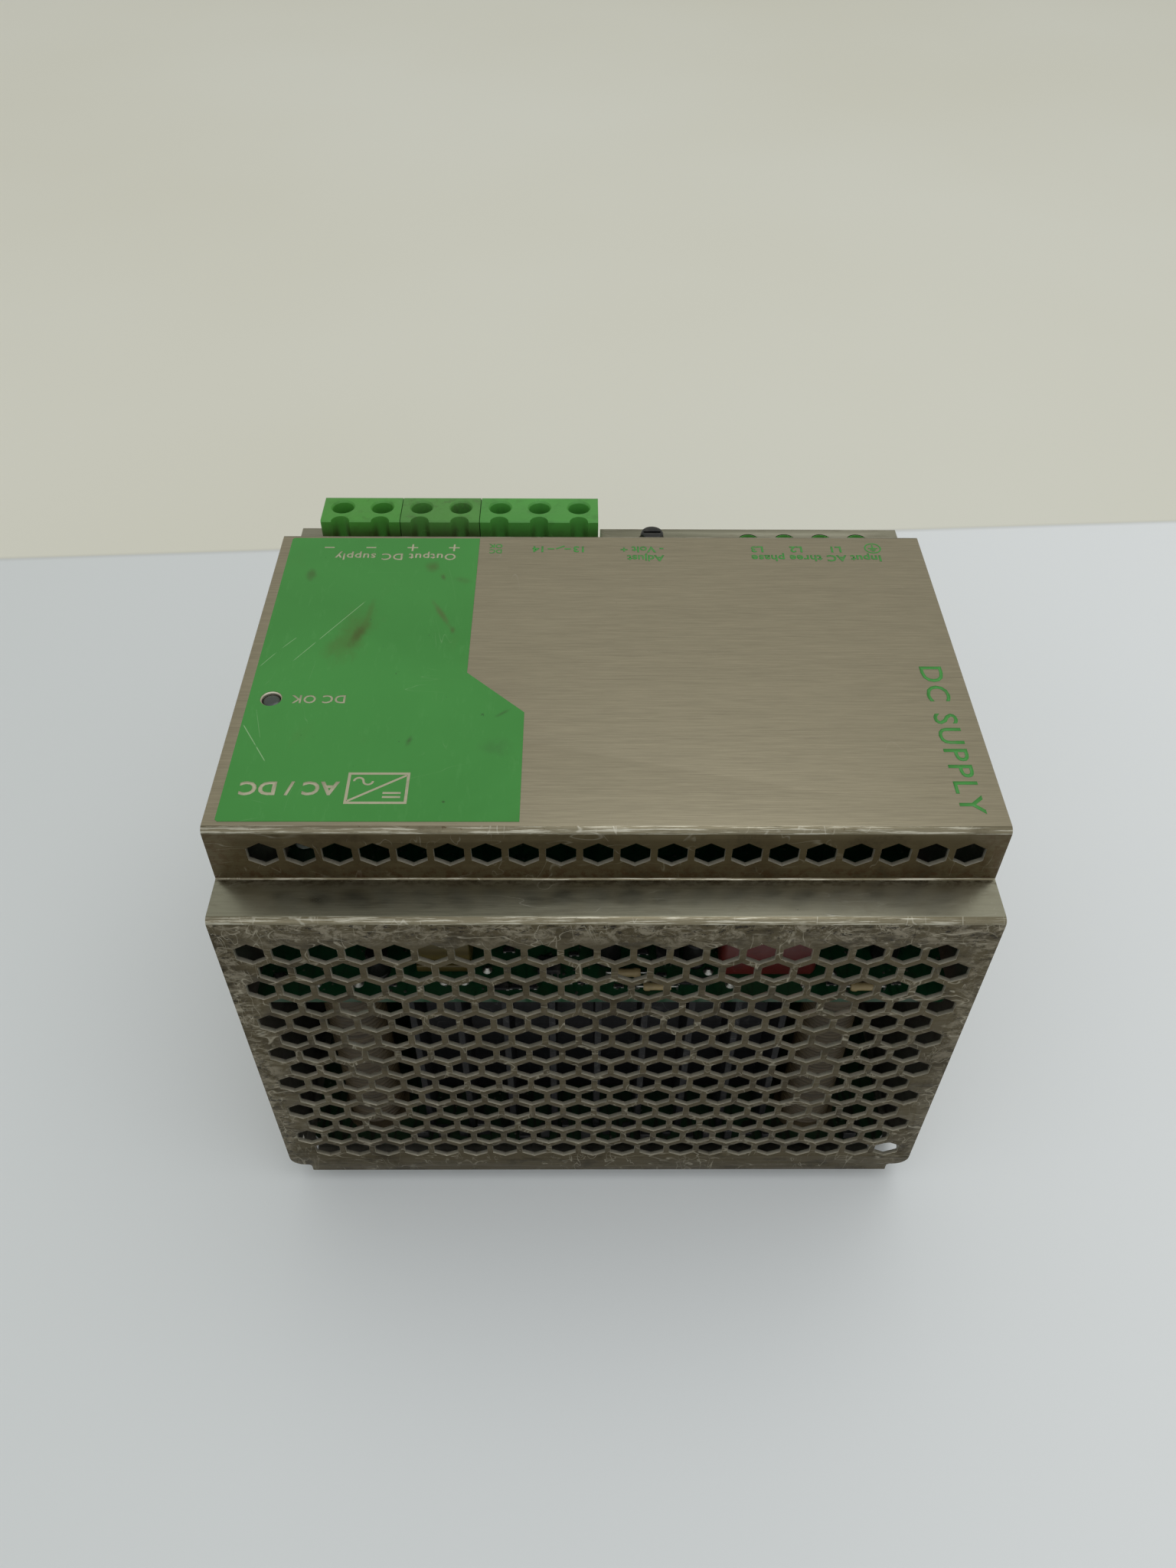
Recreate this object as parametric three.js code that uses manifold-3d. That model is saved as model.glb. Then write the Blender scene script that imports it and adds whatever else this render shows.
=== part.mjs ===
// DIN rail power supply: folded sheet case with two perforated ends, screw terminals on a recessed
// ledge, circuit boards with their large parts, and a spring-loaded foot for a 35 mm rail.
// Millimetres. The unit lies on its back: +Z is its front plate, -Y the end that is on top when it
// hangs on its rail, +Y the terminal end, X the width. The origin is under the middle of its box.
import * as THREE from 'three';
import { mergeVertices } from 'three/addons/utils/BufferGeometryUtils.js';
import Module from 'manifold-3d';

const wasm = await Module();
wasm.setup();

// ---- overall size ----
const WIDTH = 157, HALF = WIDTH / 2;
const Y_TOP = -65, Y_BOTTOM = 63;        // outer planes of the two perforated ends
const BLOCK_FACE = 65;                   // wire side of the output terminals
const FRONT_Z = 125;                     // top of the printed panel
const REAR_Z = 3;                        // rear plate, which bears on the rail
const SHEET = 1.0, BEND = 1.3;           // sheet and bend radius at mid thickness
const PLATE_Z = FRONT_Z - 0.15;          // bare front plate
const LEDGE_TOP_Z = 110.15;              // small ledge at the top end
const LEDGE_TERM_Z = 114.15;             // terminal ledge
const PLATE_Y0 = -54.3, PLATE_Y1 = 43.9; // front plate
const TAB_HALF = 73.5, TAB_Z = 5.55, CORNER_Z = 8.5, CORNER_R = 3.5;
// ---- perforation ----
const HEX_AF = 6.0, HEX_PITCH = 7.37, HEX_ROW = 6.355;
const HEX_ROWS = 14, HEX_COLS = 20, HEX_Z0 = 99.13, HEX_X0 = -71.83;
const FLANGE_Z = 117.6, FLANGE_X0 = -67.76, FLANGE_PITCH = 7.337;
const FAR_ROWS = 5, FAR_Z0 = 48.3;
const CUT_HEX_HOLES = true;
// ---- terminals ----
const OUT_PITCH = 10.16, OUT_X0 = -71.6, OUT_Y = 59.8, OUT_TOP = 122.3, OUT_POLES = 7;
const IN_PITCH = 9.5, IN_X = 39.1, IN_Y = 57.1, IN_TOP = 112.5, IN_POLES = 4;
const BLOCK_Z = 94.3, TRAVEL = 3.0;
const TRIM = { x: 13.6, y: 57.2 };
const LED = { x: -71.24, y: -16.84 };
// ---- chassis ----
const CH_T = 1.2, CH_HALF = 78.2;
const SIDE_SCREWS = [[-30, 117], [30, 117]];
// ---- rail fixing ----
const RAIL_HALF = 17.5;
const HOOK_SCREWS = [[-15, -32], [15, -32]], GUIDE_SCREWS = [[-16, 41], [16, 41]];

// ---------- geometry helpers ----------
const clean = (g) => {
  const c = g.clone();
  for (const k of Object.keys(c.attributes)) if (k !== 'position') c.deleteAttribute(k);
  const m = mergeVertices(c, 1e-4);
  const p = m.attributes.position.array, i = m.index.array;
  const keep = [];
  let v = 0;
  for (let t = 0; t < i.length; t += 3) {
    const [a, b, d] = [i[t], i[t + 1], i[t + 2]];
    if (a === b || b === d || a === d) continue;
    keep.push(a, b, d);
    const A = [p[3 * a], p[3 * a + 1], p[3 * a + 2]], B = [p[3 * b], p[3 * b + 1], p[3 * b + 2]];
    const D = [p[3 * d], p[3 * d + 1], p[3 * d + 2]];
    v += A[0] * (B[1] * D[2] - B[2] * D[1]) - A[1] * (B[0] * D[2] - B[2] * D[0]) + A[2] * (B[0] * D[1] - B[1] * D[0]);
  }
  if (v < 0) for (let t = 0; t < keep.length; t += 3) [keep[t + 1], keep[t + 2]] = [keep[t + 2], keep[t + 1]];
  m.setIndex(keep);
  return m;
};
const solid = (g) => {
  const m = clean(g);
  return new wasm.Manifold(new wasm.Mesh({
    numProp: 3,
    vertProperties: new Float32Array(m.attributes.position.array),
    triVerts: new Uint32Array(m.index.array),
  }));
};
const geometry = (s) => {
  const mesh = s.getMesh(), n = mesh.numProp, count = mesh.vertProperties.length / n;
  const pos = new Float32Array(count * 3);
  for (let k = 0; k < count; k++) for (let j = 0; j < 3; j++) pos[3 * k + j] = mesh.vertProperties[k * n + j];
  const g = new THREE.BufferGeometry();
  g.setAttribute('position', new THREE.BufferAttribute(pos, 3));
  g.setIndex(Array.from(mesh.triVerts));
  return g;
};
const cut = (base, tools) => tools.reduce((a, t) => a.subtract(t instanceof THREE.BufferGeometry ? solid(t) : t), base instanceof THREE.BufferGeometry ? solid(base) : base);
const join = (list) => list.map((g) => (g instanceof THREE.BufferGeometry ? solid(g) : g)).reduce((a, b) => a.add(b));

const outline = (pts, holes = []) => {
  const s = new THREE.Shape(pts.map((p) => new THREE.Vector2(p[0], p[1])));
  for (const h of holes) s.holes.push(new THREE.Path(h.map((p) => new THREE.Vector2(p[0], p[1]))));
  return s;
};
const basis = (g, a, b, c, at) => g.applyMatrix4(new THREE.Matrix4().makeBasis(new THREE.Vector3(...a), new THREE.Vector3(...b), new THREE.Vector3(...c)).setPosition(...at));
const prismX = (pts, x0, x1, holes) => basis(new THREE.ExtrudeGeometry(outline(pts, holes), { depth: x1 - x0, bevelEnabled: false, curveSegments: 1 }), [0, 1, 0], [0, 0, 1], [1, 0, 0], [x0, 0, 0]);
const prismY = (pts, y0, y1, holes) => basis(new THREE.ExtrudeGeometry(outline(pts, holes), { depth: y1 - y0, bevelEnabled: false, curveSegments: 1 }), [1, 0, 0], [0, 0, 1], [0, -1, 0], [0, y1, 0]);
const prismZ = (pts, z0, z1, holes) => basis(new THREE.ExtrudeGeometry(outline(pts, holes), { depth: z1 - z0, bevelEnabled: false, curveSegments: 1 }), [1, 0, 0], [0, 1, 0], [0, 0, 1], [0, 0, z0]);
const box = (x0, x1, y0, y1, z0, z1) => new THREE.BoxGeometry(x1 - x0, y1 - y0, z1 - z0).translate((x0 + x1) / 2, (y0 + y1) / 2, (z0 + z1) / 2);
const ring = (r, n, cx = 0, cy = 0, turn = 0) => Array.from({ length: n }, (_, i) => {
  const a = turn + (2 * Math.PI * i) / n;
  return [cx + r * Math.cos(a), cy + r * Math.sin(a)];
});
const arc = (cx, cy, r, a0, a1, n) => Array.from({ length: n + 1 }, (_, i) => {
  const a = a0 + ((a1 - a0) * i) / n;
  return [cx + r * Math.cos(a), cy + r * Math.sin(a)];
});
const rodZ = (x, y, r, z0, z1, n = 12) => prismZ(ring(r, n, x, y, Math.PI / n), z0, z1);
const rodX = (y, z, r, x0, x1, n = 12) => prismX(ring(r, n, y, z, Math.PI / n), x0, x1);
// A turned piece standing along Z: profile is [radius, z] from the axis back to the axis.
const turned = (profile, x, y, n = 14) => new THREE.LatheGeometry(profile.map((p) => new THREE.Vector2(p[0], p[1])), n).rotateX(Math.PI / 2).translate(x, y, 0);
const roundRect = (x0, x1, y0, y1, r, n = 3) => [
  ...arc(x1 - r, y0 + r, r, -Math.PI / 2, 0, n), ...arc(x1 - r, y1 - r, r, 0, Math.PI / 2, n),
  ...arc(x0 + r, y1 - r, r, Math.PI / 2, Math.PI, n), ...arc(x0 + r, y0 + r, r, Math.PI, 1.5 * Math.PI, n),
];
// A folded strip: the middle line of the sheet with its bends, offset to both faces.
const folded = (mid, t, r, n = 3) => {
  const line = [];
  for (let i = 0; i < mid.length; i++) {
    const p = new THREE.Vector2(...mid[i]);
    if (i === 0 || i === mid.length - 1) {
      const q = new THREE.Vector2(...mid[i === 0 ? 1 : i - 1]);
      const d = (i === 0 ? q.sub(p) : p.clone().sub(q)).normalize();
      line.push([p, new THREE.Vector2(-d.y, d.x)]);
      continue;
    }
    const d0 = p.clone().sub(new THREE.Vector2(...mid[i - 1])).normalize();
    const d1 = new THREE.Vector2(...mid[i + 1]).sub(p).normalize();
    const side = Math.sign(d0.x * d1.y - d0.y * d1.x);
    const a = p.clone().addScaledVector(d0, -r), centre = a.clone().add(new THREE.Vector2(-d0.y, d0.x).multiplyScalar(side * r));
    for (let k = 0; k <= n; k++) {
      const out = a.clone().sub(centre).rotateAround(new THREE.Vector2(), (side * (Math.PI / 2) * k) / n);
      line.push([centre.clone().add(out), out.clone().normalize().multiplyScalar(-side)]);
    }
  }
  const left = line.map(([p, m]) => p.clone().addScaledVector(m, t / 2)), right = line.map(([p, m]) => p.clone().addScaledVector(m, -t / 2));
  return [...left, ...right.reverse()].map((v) => [v.x, v.y]);
};

// ---------- materials and nodes ----------
const mat = (color, roughness, metalness) => new THREE.MeshStandardMaterial({ color, roughness, metalness, flatShading: true });
const COVER = mat(0x8f8a7c, 0.45, 0.85), CHASSIS = mat(0x9a988f, 0.5, 0.85), INK = mat(0x3f7a3c, 0.55, 0.0);
const GREEN = mat(0x3f9a43, 0.5, 0.0), ZINC = mat(0xb9b9b4, 0.35, 0.9), BOARD = mat(0x1f5a2c, 0.55, 0.0);
const BLACK = mat(0x1c1c1d, 0.45, 0.0), CLEAR = mat(0xd8dcd2, 0.25, 0.0), CORE = mat(0x3a3a3c, 0.7, 0.1);
const TAPE = mat(0xd9b02c, 0.5, 0.0), COPPER = mat(0x9c6b48, 0.45, 0.3), SLEEVE = mat(0x23262b, 0.4, 0.0);
const FILM = mat(0xc2492a, 0.5, 0.0), SINK = mat(0x2a2b2c, 0.5, 0.6), STEEL = mat(0xa9a9a4, 0.4, 0.9), SPRING = mat(0xc6c6c4, 0.3, 0.95);
const PALE = mat(0x9a8c78, 0.6, 0.0);
const group = new THREE.Group();
const add = (name, shape, material) => {
  const g = shape instanceof THREE.BufferGeometry ? clean(shape) : geometry(shape);
  g.computeVertexNormals();
  const m = new THREE.Mesh(g, material);
  m.name = name;
  group.add(m);
};

// ---------- cover: one folded sheet ----------
{
  const h = SHEET / 2;
  const mid = [[Y_TOP + h, TAB_Z], [Y_TOP + h, LEDGE_TOP_Z - h], [PLATE_Y0 + h, LEDGE_TOP_Z - h], [PLATE_Y0 + h, PLATE_Z - h],
    [PLATE_Y1 - h, PLATE_Z - h], [PLATE_Y1 - h, LEDGE_TERM_Z - h], [Y_BOTTOM - h, LEDGE_TERM_Z - h], [Y_BOTTOM - h, TAB_Z]];
  let s = solid(prismX(folded(mid, SHEET, BEND), -HALF, HALF));
  const corner = [[TAB_HALF, TAB_Z - 1], [TAB_HALF, CORNER_Z - 1], [TAB_HALF + 0.3, CORNER_Z - 0.3], [TAB_HALF + 1, CORNER_Z],
    ...arc(HALF - CORNER_R, CORNER_Z + CORNER_R, CORNER_R, -Math.PI / 2, 0, 4), [HALF + 1, CORNER_Z + CORNER_R], [HALF + 1, TAB_Z - 1]];
  const mirrored = corner.map(([x, z]) => [-x, z]).reverse();
  const cuts = [];
  for (const [y0, y1] of [[Y_TOP - 1, Y_TOP + 3], [Y_BOTTOM - 3, Y_BOTTOM + 1]]) cuts.push(prismY(corner, y0, y1), prismY(mirrored, y0, y1));
  cuts.push(box(OUT_X0 - 0.6, OUT_X0 + OUT_POLES * OUT_PITCH + 0.6, 52.8, 67, 93.6, 117));
  cuts.push(box(IN_X - 4.4, IN_X + 3 * IN_PITCH + 4.4, Y_BOTTOM - 3, Y_BOTTOM + 1, 95.5, 108));
  for (let i = 0; i < IN_POLES; i++) cuts.push(rodZ(IN_X + i * IN_PITCH, IN_Y, 2.8, 111, 116, 14));
  cuts.push(rodZ(TRIM.x, TRIM.y, 3.5, 111, 116, 14));
  cuts.push(rodZ(LED.x, LED.y, 2.25, 122, 127, 12));
  s = cut(s, cuts);
  // welded tabs that take the side screws
  const tabs = [];
  for (const side of [-1, 1]) for (const [y, z] of SIDE_SCREWS) {
    const [a, b] = side > 0 ? [75.4, 76.6] : [-76.6, -75.4];
    tabs.push(cut(box(a, b, y - 6, y + 6, z - 5, PLATE_Z - 0.5), [rodX(y, z, 1.7, a - 1, b + 1, 10)]));
  }
  s = join([s, ...tabs]);
  if (CUT_HEX_HOLES) {
    const hex = (x, z) => ring(HEX_AF / Math.sqrt(3), 6, x, z, Math.PI / 2);
    const holes = [];
    for (let r = 0; r < HEX_ROWS; r++) for (let c = 0; c < HEX_COLS; c++) {
      holes.push(prismY(hex(HEX_X0 + c * HEX_PITCH + (r % 2 ? HEX_PITCH / 2 : 0), HEX_Z0 - r * HEX_ROW), Y_TOP - 1, Y_TOP + 2));
    }
    for (let c = 0; c < HEX_COLS; c++) holes.push(prismY(hex(FLANGE_X0 + c * FLANGE_PITCH, FLANGE_Z), PLATE_Y0 - 1, PLATE_Y0 + 2));
    for (let r = 0; r < FAR_ROWS; r++) for (let c = 0; c < HEX_COLS; c++) {
      holes.push(prismY(hex(HEX_X0 + c * HEX_PITCH + (r % 2 ? HEX_PITCH / 2 : 0), FAR_Z0 - r * HEX_ROW), Y_BOTTOM - 2, Y_BOTTOM + 1));
    }
    s = s.subtract(join(holes));
  }
  add('front_cover', s, COVER);
}

// ---------- printed panel on the front plate ----------
{
  const pts = [[-76.1, -52.1], [-17.1, -52.1], [-17.1, -21.0], [-30.0, -8.3], [-30.0, 42.1], [-76.1, 42.1]];
  add('front_label', prismZ(pts, PLATE_Z + 0.04, FRONT_Z, [ring(2.4, 12, LED.x, LED.y)]), INK);
}

// ---------- rear chassis: rear plate with two side walls ----------
{
  const w = CH_HALF, t = CH_T, z0 = REAR_Z;
  const u = [[-w, 123.7], [-w, z0 + 2.2], [-w + 0.65, z0 + 0.65], [-w + 2.2, z0], [w - 2.2, z0], [w - 0.65, z0 + 0.65], [w, z0 + 2.2], [w, 123.7],
    [w - t, 123.7], [w - t, z0 + 2.3], [w - t - 0.3, z0 + t + 0.3], [w - t - 1.1, z0 + t], [-w + t + 1.1, z0 + t], [-w + t + 0.3, z0 + t + 0.3], [-w + t, z0 + 2.3], [-w + t, 123.7]];
  const side = [[-63.6, z0 - 1], [-63.6, 107.6], [-62.4, 108.7], [-52.8, 108.7], [-52.8, 122.4], [-51.8, 123.5], [40.6, 123.5], [41.6, 122.4], [41.6, 112.7], [60.4, 112.7], [61.6, 111.5], [61.6, z0 - 1]];
  let s = solid(prismY(u, -70, 70)).intersect(solid(prismX(side, -80, 80)));
  const cuts = [];
  for (const sx of [-1, 1]) {
    const [a, b] = sx > 0 ? [70.5, 80] : [-80, -70.5];
    cuts.push(box(a, b, -66, -56.5, 1, 8.2), box(a, b, 55.5, 66, 1, 8.2));
    for (const [y, z] of SIDE_SCREWS) {
      const cone = new THREE.CylinderGeometry(sx > 0 ? 3.1 : 1.8, sx > 0 ? 1.8 : 3.1, CH_T + 0.1, 12).rotateZ(-Math.PI / 2).translate(sx * (CH_HALF - CH_T / 2), y, z);
      cuts.push(cone);
    }
  }
  for (const [x, y] of [...HOOK_SCREWS, ...GUIDE_SCREWS]) cuts.push(rodZ(x, y, 1.7, 1, 6, 10));
  s = cut(s, cuts);
  const posts = [[-67, -52], [67, -52], [-67, 50], [67, 50]].map(([x, y]) => rodZ(x, y, 3, z0 + t - 0.4, 9.7, 10));
  add('rear_chassis', join([s, ...posts]), CHASSIS);
}

// ---------- side screws ----------
{
  let n = 1;
  for (const sx of [-1, 1]) for (const [y, z] of SIDE_SCREWS) {
    const g = new THREE.LatheGeometry([[0, 0], [2.75, 0], [1.45, 1.25], [1.45, 4.4], [0, 4.4]].map((p) => new THREE.Vector2(...p)), 12);
    const slot = [box(-3.2, 3.2, -0.5, 0.45, -0.45, 0.45), box(-0.45, 0.45, -0.5, 0.45, -1.6, 1.6)];
    const s = cut(g, [box(-1.6, 1.6, -0.5, 0.5, -0.4, 0.4), slot[1]]);
    const q = geometry(s).rotateZ(sx > 0 ? Math.PI / 2 : -Math.PI / 2).translate(sx * (CH_HALF - 0.05), y, z);
    add(`cover_screw_${n++}`, q, ZINC);
  }
}

// ---------- terminal blocks ----------
const pole = (x, o) => {
  const n = 12;
  return [
    rodZ(x, o.y, o.holeR, o.headZ, o.top + 1, n),
    rodZ(x, o.y, o.shaftR + 0.35, o.chamberTop - 0.5, o.headZ + 0.5, n),
    box(x - o.chamberX, x + o.chamberX, o.chamberY0, o.chamberY1, BLOCK_Z + 1.3, o.chamberTop),
    prismY([[x - o.mouth - 0.5, BLOCK_Z + 2.3], [x + o.mouth + 0.5, BLOCK_Z + 2.3], [x + o.mouth + 0.5, BLOCK_Z + 9.3], [x - o.mouth - 0.5, BLOCK_Z + 9.3]], o.chamberY1 - 0.5, o.face + 1),
  ];
};
const OUT = { y: OUT_Y, holeR: 2.7, headZ: 111, shaftR: 1.45, top: OUT_TOP, chamberTop: 108, chamberX: 3.8, chamberY0: 51.8, chamberY1: 63.5, mouth: 2.6, face: BLOCK_FACE };
const INP = { y: IN_Y, holeR: 2.15, headZ: 108.6, shaftR: 1.2, top: IN_TOP, chamberTop: 107, chamberX: 3.5, chamberY0: 50.5, chamberY1: 60.5, mouth: 2.4, face: 61.7 };
const outX = (i) => OUT_X0 + OUT_PITCH * (i + 0.5);
const outBlock = (name, first, count) => {
  const x0 = OUT_X0 + first * OUT_PITCH + 0.15, x1 = OUT_X0 + (first + count) * OUT_PITCH - 0.15;
  const profile = [[47.5, BLOCK_Z], [65, BLOCK_Z], [65, 121.2], [63.9, OUT_TOP], [53.8, OUT_TOP], [53.4, OUT_TOP - 0.4], [53.4, 112.6], [48.1, 112.6], [47.5, 112]];
  const cuts = [];
  for (let i = first; i < first + count; i++) {
    cuts.push(...pole(outX(i), OUT));
    cuts.push(rodZ(outX(i), 53.2, 2.35, 113.4, OUT_TOP + 1, 12));
  }
  add(name, cut(prismX(profile, x0, x1), cuts), GREEN);
};
outBlock('output_block_minus', 0, 2);
outBlock('output_block_plus', 2, 2);
outBlock('signal_block', 4, 3);
{
  const x0 = IN_X - IN_PITCH / 2, x1 = x0 + IN_POLES * IN_PITCH;
  const profile = [[46, BLOCK_Z], [61.7, BLOCK_Z], [61.7, 111.7], [60.9, IN_TOP], [46.6, IN_TOP], [46, 111.9]];
  const cuts = [];
  for (let i = 0; i < IN_POLES; i++) cuts.push(...pole(IN_X + i * IN_PITCH, INP));
  add('input_block', cut(prismX(profile, x0, x1), cuts), GREEN);
}
const screw = (name, x, o, headR, headH, tip) => {
  const z = o.headZ + 0.2;
  const g = turned([[0, tip], [o.shaftR, tip], [o.shaftR, z], [headR, z], [headR, z + headH - 0.3], [headR - 0.4, z + headH], [0, z + headH]], x, o.y, 12);
  add(name, cut(g, [box(x - headR - 1, x + headR + 1, o.y - 0.42, o.y + 0.42, z + headH - 0.9, z + headH + 1)]), ZINC);
};
const clamp = (name, x, o, halfX, wall, depth, z0, z1, z2, z3) => {
  const body = prismY([[x - halfX, z0], [x + halfX, z0], [x + halfX, z3], [x - halfX, z3]], o.y - depth / 2, o.y + depth / 2,
    [[[x - halfX + wall, z1], [x + halfX - wall, z1], [x + halfX - wall, z2], [x - halfX + wall, z2]]]);
  add(name, cut(body, [rodZ(x, o.y, o.shaftR + 0.15, z2 - 0.5, z3 + 0.5, 12)]), ZINC);
};
for (let i = 0; i < OUT_POLES; i++) {
  screw(`output_screw_${i + 1}`, outX(i), OUT, 2.35, 1.9, 102.0);
  clamp(`output_clamp_${i + 1}`, outX(i), OUT, 3.5, 0.9, 6.7, 96.0, 97.3, 102.4, 104.2);
}
for (let i = 0; i < IN_POLES; i++) {
  screw(`input_screw_${i + 1}`, IN_X + i * IN_PITCH, INP, 1.85, 1.6, 101.4);
  clamp(`input_clamp_${i + 1}`, IN_X + i * IN_PITCH, INP, 3.2, 0.8, 6.0, 95.9, 97.1, 101.7, 103.2);
}

// ---------- voltage adjustment ----------
add('trimmer_body', cut(box(TRIM.x - 5, TRIM.x + 5, TRIM.y - 4.8, TRIM.y + 4.2, BLOCK_Z, 105), [rodZ(TRIM.x, TRIM.y, 2.0, 97, 106, 12)]), BLACK);
{
  const g = turned([[0, 98.2], [1.7, 98.2], [1.7, 105.4], [3.0, 105.4], [3.0, 116.0], [2.5, 116.6], [0, 116.6]], TRIM.x, TRIM.y, 16);
  add('adjust_knob', cut(g, [box(TRIM.x - 2.4, TRIM.x + 2.4, TRIM.y - 0.45, TRIM.y + 0.45, 115.7, 117.5)]), BLACK);
}

// ---------- status light ----------
add('status_light_pipe', turned([[0, 78.8], [2.6, 78.8], [2.6, 84.5], [1.9, 84.5], [1.9, 124.1], [1.5, 124.5], [0, 124.5]], LED.x, LED.y, 12), CLEAR);

// ---------- circuit boards ----------
add('main_board', prismZ(roundRect(-73, 73, -60, 58, 1.5, 1), 10, 11.6), BOARD);
add('filter_board', prismZ(roundRect(-75, 75, -61.5, 60, 1.5, 1), 76.9, 78.5), BOARD);
add('terminal_board', prismZ(roundRect(-74, 75.5, 40, 61.3, 1, 1), 92.4, 94.0), BOARD);
add('terminal_link', box(-66, 66, 43, 46, 78.8, 92.1), BLACK);

// ---------- large parts on the boards ----------
{
  const comb = (x0, x1, yBase, t, fin, ft, count, dir) => {
    const pts = [[x0, yBase], [x1, yBase]], step = (x1 - x0 - ft) / (count - 1), up = [];
    for (let i = count - 1; i >= 0; i--) {
      const a = x0 + i * step;
      up.push([a + ft, yBase + dir * t], [a + ft, yBase + dir * (t + fin)], [a, yBase + dir * (t + fin)], [a, yBase + dir * t]);
    }
    up.shift(); up.pop();
    return [...pts, ...up.map((p) => p)].filter((p, i, a) => i === 0 || p[0] !== a[i - 1][0] || p[1] !== a[i - 1][1]);
  };
  add('primary_heatsink', prismZ(comb(-44, 42, -41.5, 3, 12, 1.6, 9, -1), 11.9, 76.6), SINK);
  add('secondary_heatsink', prismZ(comb(-4, 56, 30, 3, 8, 1.6, 6, 1), 11.9, 76.6), SINK);
}
const coil = (name, x, y, r, material) => add(name, turned([[0, 11.9], [r + 1.2, 11.9], [r + 1.2, 14], [r, 14], [r, 70], [r + 1.2, 70], [r + 1.2, 72], [0, 72]], x, y, 16), material);
coil('input_choke_left', -57.7, -49.5, 7, PALE);
coil('input_choke_right', 53.2, -50.5, 6.4, PALE);
for (const [i, x] of [[1, -27], [2, 12]]) {
  add(`bulk_capacitor_${i}`, turned([[0, 11.9], [16.2, 11.9], [17.5, 13], [17.5, 14.5], [16.8, 15.4], [17.5, 16.3], [17.5, 66], [16.6, 67], [14.5, 67], [14.5, 66.3], [0, 66.3]], x, -20.5, 18), SLEEVE);
}
{
  const [x, y] = [-48, 22];
  const core = cut(box(x - 21, x + 21, y - 10, y + 10, 11.9, 54), [box(x - 14.5, x - 7, y - 12, y + 12, 18, 48), box(x + 7, x + 14.5, y - 12, y + 12, 18, 48)]);
  add('transformer_core', core, CORE);
  add('transformer_winding', prismZ(roundRect(x - 14.1, x + 14.1, y - 17, y + 17, 3, 2), 18.4, 47.6, [[[x - 7.3, y - 10.3], [x - 7.3, y + 10.3], [x + 7.3, y + 10.3], [x + 7.3, y - 10.3]]]), TAPE);
}
add('output_choke', (() => {
  const pts = [];
  for (const [a, b] of ring(7, 8, 16, 21)) pts.push(new THREE.Vector2(a, b));
  pts.push(pts[0].clone());
  return new THREE.LatheGeometry(pts, 16).rotateX(Math.PI / 2).translate(49, 3, 0);
})(), COPPER);
add('film_capacitor', prismZ(roundRect(25.3, 46.3, -56, -46, 1.2, 2), 78.8, 92.5), FILM);
add('pulse_transformer', cut(box(-41, -29, -55, -43, 78.8, 91), [box(-42, -28, -56, -52.5, 81, 83)]), TAPE);
add('signal_relay', prismZ(roundRect(-26, -6, 14, 25, 0.8, 1), 78.8, 94.5), BLACK);

// ---------- rail fixing ----------
{
  const hook = [[-40, 1.4], [-19.8, 1.4], [-19.8, 0.4], [-19.4, 0], [-14.9, 0], [-14.5, 0.4], [-14.5, 1.2], [-18.6, 1.2], [-18.6, 2.6], [-40, 2.6]];
  add('rail_hook', cut(prismX(hook, -24, 24), HOOK_SCREWS.map(([x, y]) => rodZ(x, y, 1.7, 0, 4, 10))), STEEL);
  const foot = [[14.9, 0], [19.4, 0], [19.8, 0.4], [19.8, 1.3], [62, 1.3], [62, 2.5], [18.6, 2.5], [18.6, 1.2], [14.5, 1.2], [14.5, 0.4]];
  add('rail_foot', cut(prismX(foot, -11, 11), [box(-3.2, 3.2, 24, 48, -1, 4), box(-3, 3, 54.5, 57, -1, 4)]), STEEL);
  const guide = [[-20, 2.6], [-20, 1.4], [-12.2, 1.4], [-12.2, 0], [12.2, 0], [12.2, 1.4], [20, 1.4], [20, 2.6], [11.4, 2.6], [11.4, 0.9], [-11.4, 0.9], [-11.4, 2.6]];
  const strap = join([prismY(guide, 36, 46), box(-2.4, 2.4, 40.5, 42, 0.5, 2.6)]);
  add('foot_guide', cut(strap, GUIDE_SCREWS.map(([x, y]) => rodZ(x, y, 1.7, 0, 4, 10))), STEEL);
  const pts = [], y0 = 24.6, y1 = 39.9, turns = 7, r = 0.7, per = 8;
  for (let i = 0; i <= turns * per; i++) {
    const a = (2 * Math.PI * i) / per;
    pts.push(new THREE.Vector3(r * Math.cos(a), y0 + ((y1 - y0) * i) / (turns * per), 1.95 + r * Math.sin(a)));
  }
  const wire = new THREE.Shape(ring(0.2, 5).map((p) => new THREE.Vector2(...p)));
  add('foot_spring', new THREE.ExtrudeGeometry(wire, { steps: turns * per, extrudePath: new THREE.CatmullRomCurve3(pts), bevelEnabled: false, curveSegments: 1 }), SPRING);
  let n = 1;
  for (const [x, y] of [...HOOK_SCREWS, ...GUIDE_SCREWS]) {
    const g = turned([[0, 0.15], [2.2, 0.15], [2.6, 0.5], [2.6, 1.15], [1.4, 1.15], [1.4, 5.4], [0, 5.4]], x, y, 12);
    add(`adapter_screw_${n++}`, cut(g, [box(x - 1.5, x + 1.5, y - 0.4, y + 0.4, -0.5, 0.65), box(x - 0.4, x + 0.4, y - 1.5, y + 1.5, -0.5, 0.65)]), ZINC);
  }
}

export default group;
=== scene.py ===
import bpy, bmesh, math, random
from mathutils import Vector, Matrix


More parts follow.
